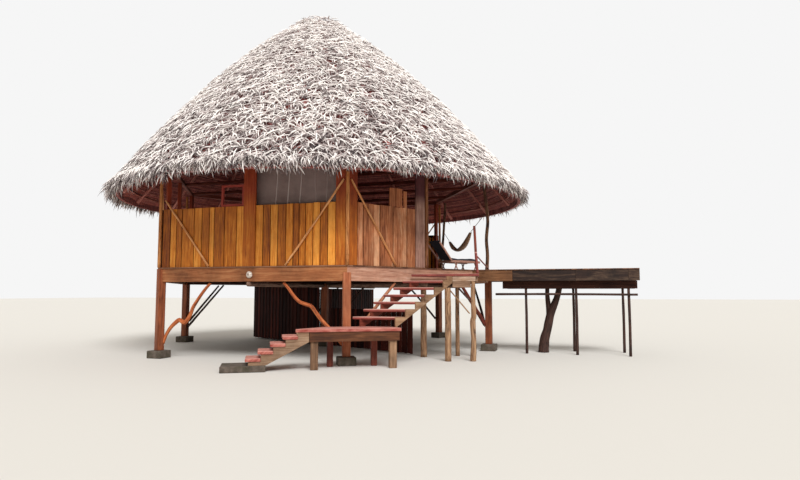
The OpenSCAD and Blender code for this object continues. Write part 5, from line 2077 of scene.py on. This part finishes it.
        piece.pole([middle, head], [0.035, 0.032], 12, 10, 0.06).build(smooth=True)


@dataclass
class Lamp:
    """The round lamp on the front rim: a moulded diffuser on a back plate."""

    plan: Plan = PLAN
    radius: float = 0.085
    height: float = 2.205
    x: float = 0.04

    def build(self) -> None:
        """Builds the lamp as one lathe form with a rib round it, and its boss."""
        part = blank()
        line = [
            (0.0, 0.0), (self.radius, 0.0), (self.radius, 0.02), (0.082, 0.026), (0.076, 0.028), (0.074, 0.036),
            (0.066, 0.042), (0.058, 0.05), (0.046, 0.054), (0.042, 0.062), (0.03, 0.068), (0.0, 0.07),
        ]
        lathe(part, line, 40, 0.0002)
        face = -self.plan.apothem
        piece = Piece("lamp_diffuser", MILKY, "lamp_glass", 141)
        piece.take(part, moved(self.x, face, self.height) @ turned(90, "X")).build("lamp", smooth=True)
        part = blank()
        bmesh.ops.create_cone(part, cap_ends=True, segments=24, radius1=0.026, radius2=0.022, depth=0.012)
        soften(part, 0.002)
        piece = Piece("lamp_boss", BOSS, "lamp_glass", 142)
        piece.take(part, moved(self.x, face - 0.072, self.height) @ turned(90, "X")).build()


@dataclass
class Lounger:
    """The wooden lounger on the veranda, with its dark pad."""

    plan: Plan = PLAN
    start: float = 3.6
    inward: float = 0.3
    length: float = 1.78
    width: float = 0.56
    seat: float = 0.29
    voxel: float = 0.014
    cap: float = 0.009

    @property
    def place(self) -> Matrix:
        """Frame of the lounger: X along it from its back, Y across it."""
        return self.plan.side(Corner.FRONT) @ moved(self.start, self.inward, self.plan.floor)

    def build(self) -> None:
        """Builds the frame and the pad."""
        piece = Piece("lounger_sticks", BARE_RED, "lounger_wood", 151)
        place, low, wide, far = self.place, self.seat - 0.04, self.width, self.length
        for y in (0.02, wide - 0.02):
            piece.board((0.48, y, low), (far, y, low), 0.04, 0.07, place=place, ease=0.006)
            piece.board((0.53, y, low), (0.005, y, 0.785), 0.04, 0.05, place=place, ease=0.006)
            for x in (0.7, far - 0.19):
                for way in (-0.07, 0.07):
                    piece.board((x + way, y, 0.0), (x - way, y, low), 0.03, 0.03, place=place)
        for x in (0.5, far - 0.02):
            z = self.seat - 0.035
            piece.board((x, 0.04, z), (x, wide - 0.04, z), 0.04, 0.045, SIDEWAYS, place, 0.005)
        piece.build("lounger_frame")
        self.pad()

    def pad(self) -> None:
        """A thick pad that runs up the back and along the seat, crowned, with sewn channels."""
        seat = self.seat + 0.005
        line = [Vector((x, 0, z)) for x, z in ((0.02, 0.83), (0.3, 0.56), (0.56, seat), (self.length - 0.03, seat))]
        part = block((1, 1, 1), 0)
        for axis, cuts in ((0, 47), (1, 11)):
            edges = [e for e in part.edges if abs(e.verts[0].co[axis] - e.verts[1].co[axis]) > 0.5]
            bmesh.ops.subdivide_edges(part, edges=edges, cuts=cuts)
        wide = self.width - 0.12
        for v in part.verts:
            share, y, up = v.co.x + 0.5, v.co.y * 2, v.co.z + 0.5
            point, heading, _ = along(line, [1] * len(line), share)
            rise = Vector((-heading.z, 0, heading.x))
            rise = -rise if rise.z < 0 else rise
            edge = max(0.0, 1 - abs(y) ** 6) ** 0.5 * max(0.0, 1 - abs(2 * share - 1) ** 24) ** 0.5
            channel = 0.82 + 0.18 * abs(math.sin(share * math.pi * 9))
            thick = 0.012 + 0.056 * edge * channel
            v.co = point + rise * (thick * up) + Vector((0, self.width / 2 + y * wide / 2 * (0.985 + 0.015 * edge), 0))
        bmesh.ops.recalc_face_normals(part, faces=part.faces)
        piece = Piece("lounger_pad_cloth", DARK_CLOTH, "dark_cushion", 152)
        made = piece.take(part, self.place).build("lounger_pad", smooth=True)
        self.swell(made)

    def swell(self, made: Object) -> None:
        """Blows the pad up as cloth, so that its faces fill out and its edges pucker.

        Args:
            made: The pad as it was modelled, a little slack.
        """
        made.modifiers.new("voxels", "REMESH").voxel_size = self.voxel
        bake(made)
        slack = [v.co.copy() for v in made.data.vertices]
        cloth = made.modifiers.new("pressure", "CLOTH")
        cloth.settings.use_pressure = True
        cloth.settings.uniform_pressure_force = 4.0
        cloth.settings.effector_weights.gravity = 0.0
        for frame in range(1, 21):
            bpy.context.scene.frame_set(frame)
        bake(made)
        bpy.context.scene.frame_set(1)
        for v, start in zip(made.data.vertices, slack):
            move = v.co - start
            v.co = start + move * min(1.0, self.cap / max(move.length, 1e-9))
        back = self.place.inverted()
        grain = made.data.uv_layers.new(name="grain")
        for loop in made.data.loops:
            co = back @ made.data.vertices[loop.vertex_index].co
            grain.uv[loop.index].vector = (co.x, co.y)
        made.data.shade_smooth()
        smooth = made.modifiers.new("smooth", "SUBSURF")
        smooth.levels = smooth.render_levels = 1


@dataclass
class Hammock:
    """The hammock between the veranda's poles: a bowed cloth and its two cords."""

    start: Vector = Vector((3.02, 4.3, 4.08))
    end: Vector = Vector((5.3, 0.12, 4.14))
    low: float = 3.2
    curve: tuple[float, float] = (7.6, 6.2)
    lowest: float = 0.42
    width: float = 0.28
    flat: tuple[float, float] = (0.6, 2.9)
    cloth: tuple[float, float] = (0.18, 0.715)
    cord_r: float = 0.009

    def line(self, t: float) -> Vector:
        """Hanging line of the hammock.

        Args:
            t: Share of the way between its hooks.

        Returns:
            The point of its middle there.
        """
        point = self.start.lerp(self.end, t)
        point.z = self.low + self.curve[t > self.lowest] * (t - self.lowest) ** 2
        return point

    def build(self) -> None:
        """Builds the cloth and its two cords."""
        run = self.end - self.start
        side = Vector((run.y, -run.x, 0)).normalized()
        cloth = bmesh.new()
        grain = cloth.loops.layers.uv.new("grain")
        bmesh.ops.create_grid(cloth, x_segments=48, y_segments=20, size=0.5)
        spread: dict[BMVert, tuple[float, float]] = {}
        for v in cloth.verts:
            f, s = v.co.x + 0.5, v.co.y * 2
            spread[v] = (f * self.flat[1], s * self.flat[0] / 2)
            half = 0.035 + (self.width / 2 - 0.04) * math.sin(math.pi * min(max(f, 0.001), 0.999)) ** 0.7
            crease = 0.008 * math.sin(s * 19 + f * 3) * (1 - math.sin(math.pi * f)) * half / 0.2
            point = self.line(self.cloth[0] + f * (self.cloth[1] - self.cloth[0]))
            v.co = point + side * half * s + Vector((0, 0, 0.1 * s * s * half / 0.25 - 0.009 + crease))
        for loop in (loop for face in cloth.faces for loop in face.loops):
            loop[grain].uv = spread[loop.vert]
        area = sum(face.calc_area() for face in cloth.faces)
        data = mesh_of(cloth, "hammock_sheet")
        made = settle(data, "hammock_sheet", HAMMOCK_CLOTH, "hammock_cloth", "hammock", smooth=True)
        thicken(made, 0.006)
        self.cord("hammock_cord_back", self.start, self.line(self.cloth[0] - 0.004))
        self.cord("hammock_cord_front", self.end, self.line(self.cloth[1] + 0.004))

    def cord(self, name: str, first: Vector, last: Vector) -> None:
        """One taut cord from a pole to the gathered cloth.

        Args:
            name: The piece's name.
            first: Its end at the pole.
            last: Its end at the cloth.
        """
        data = bpy.data.curves.new(name, "CURVE")
        data.dimensions = "3D"
        data.bevel_depth = self.cord_r
        data.bevel_resolution = 3
        data.use_fill_caps = True
        spline = data.splines.new("POLY")
        spline.points.add(11)
        for k, point in enumerate(spline.points):
            point.co = (*first.lerp(last, k / 11), 1.0)
        made = settle(data, name, HAMMOCK_CLOTH, "hammock_cloth", "hammock")


@dataclass
class Studio:
    """The pale floor, the soft light and the camera at the photo's viewpoint."""

    spot: tuple[float, float, float] = (8.42, -18.51, 1.752)
    yaw: float = 17.44
    pitch: float = 4.938
    focal_px: float = 606.37
    image_w: int = 800
    sensor: float = 36.0
    sun: float = 2.9
    sun_width: float = 28.0
    sun_tilt: float = 44.0
    sun_turn: float = 32.0
    sky: float = 0.6

    def build(self) -> None:
        """Builds the stage."""
        self.camera()
        self.floor()
        self.lights()

    def camera(self) -> None:
        """Sets the camera that the photo was fitted to."""
        data = bpy.data.cameras.new("viewpoint")
        data.sensor_width = self.sensor
        data.lens = self.focal_px / self.image_w * self.sensor
        data.clip_end = 500
        eye = add_object("viewpoint", data)
        eye.location = self.spot
        eye.rotation_euler = (math.radians(90 + self.pitch), 0, math.radians(self.yaw))
        bpy.context.scene.camera = eye

    def floor(self) -> None:
        """A wide plain floor."""
        mesh = bmesh.new()
        bmesh.ops.create_grid(mesh, x_segments=1, y_segments=1, size=150.0)
        bmesh.ops.translate(mesh, vec=(0, 0, -0.002), verts=mesh.verts)
        data = mesh_of(mesh, "studio_floor")
        made, tree, shader = new_material("pale_floor")
        feed(tree, shader, {"Base Color": "#d9d6d0", "Roughness": 0.9})
        data.materials.append(made)
        add_object("studio_floor", data)

    def lights(self) -> None:
        """A wide soft sun from the front left, and an even pale sky."""
        data = bpy.data.lights.new("soft_key", "SUN")
        data.energy = self.sun
        data.angle = math.radians(self.sun_width)
        key = add_object("soft_key", data)
        key.rotation_euler = (math.radians(self.sun_tilt), 0.0, math.radians(self.sun_turn))
        world = bpy.data.worlds.new("pale_sky")
        bpy.context.scene.world = world
        world.use_nodes = True
        tree = world.node_tree
        tree.nodes.clear()
        rays = [add_node(tree, "LightPath", out=name) for name in ("Is Camera Ray", "Is Glossy Ray")]
        seen = add_node(tree, "Math", rays, operation="MAXIMUM")
        sky = add_node(tree, "Background", {"Color": "#f8f3ea", "Strength": self.sky})
        white = add_node(tree, "Background", {"Color": "#f6f6f6", "Strength": 1.0})
        add_node(tree, "OutputWorld", {"Surface": add_node(tree, "MixShader", (seen, sky, white))})


def main() -> None:
    """Builds the stage, then every sub-assembly from the ground up."""
    logging.basicConfig(level=logging.INFO, format="%(name)s %(message)s")
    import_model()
    bpy.context.scene.view_settings.view_transform = "Standard"
    roof = Roof()
    for part in (Studio(), Underfloor(), Floor(), Walls(), roof):
        part.build()
    Veranda().build(roof)
    for part in (Walkway(), Landing(), UpperStair(), Lamp(), Lounger(), Hammock()):
        part.build()


if __name__ == "__main__":
    main()
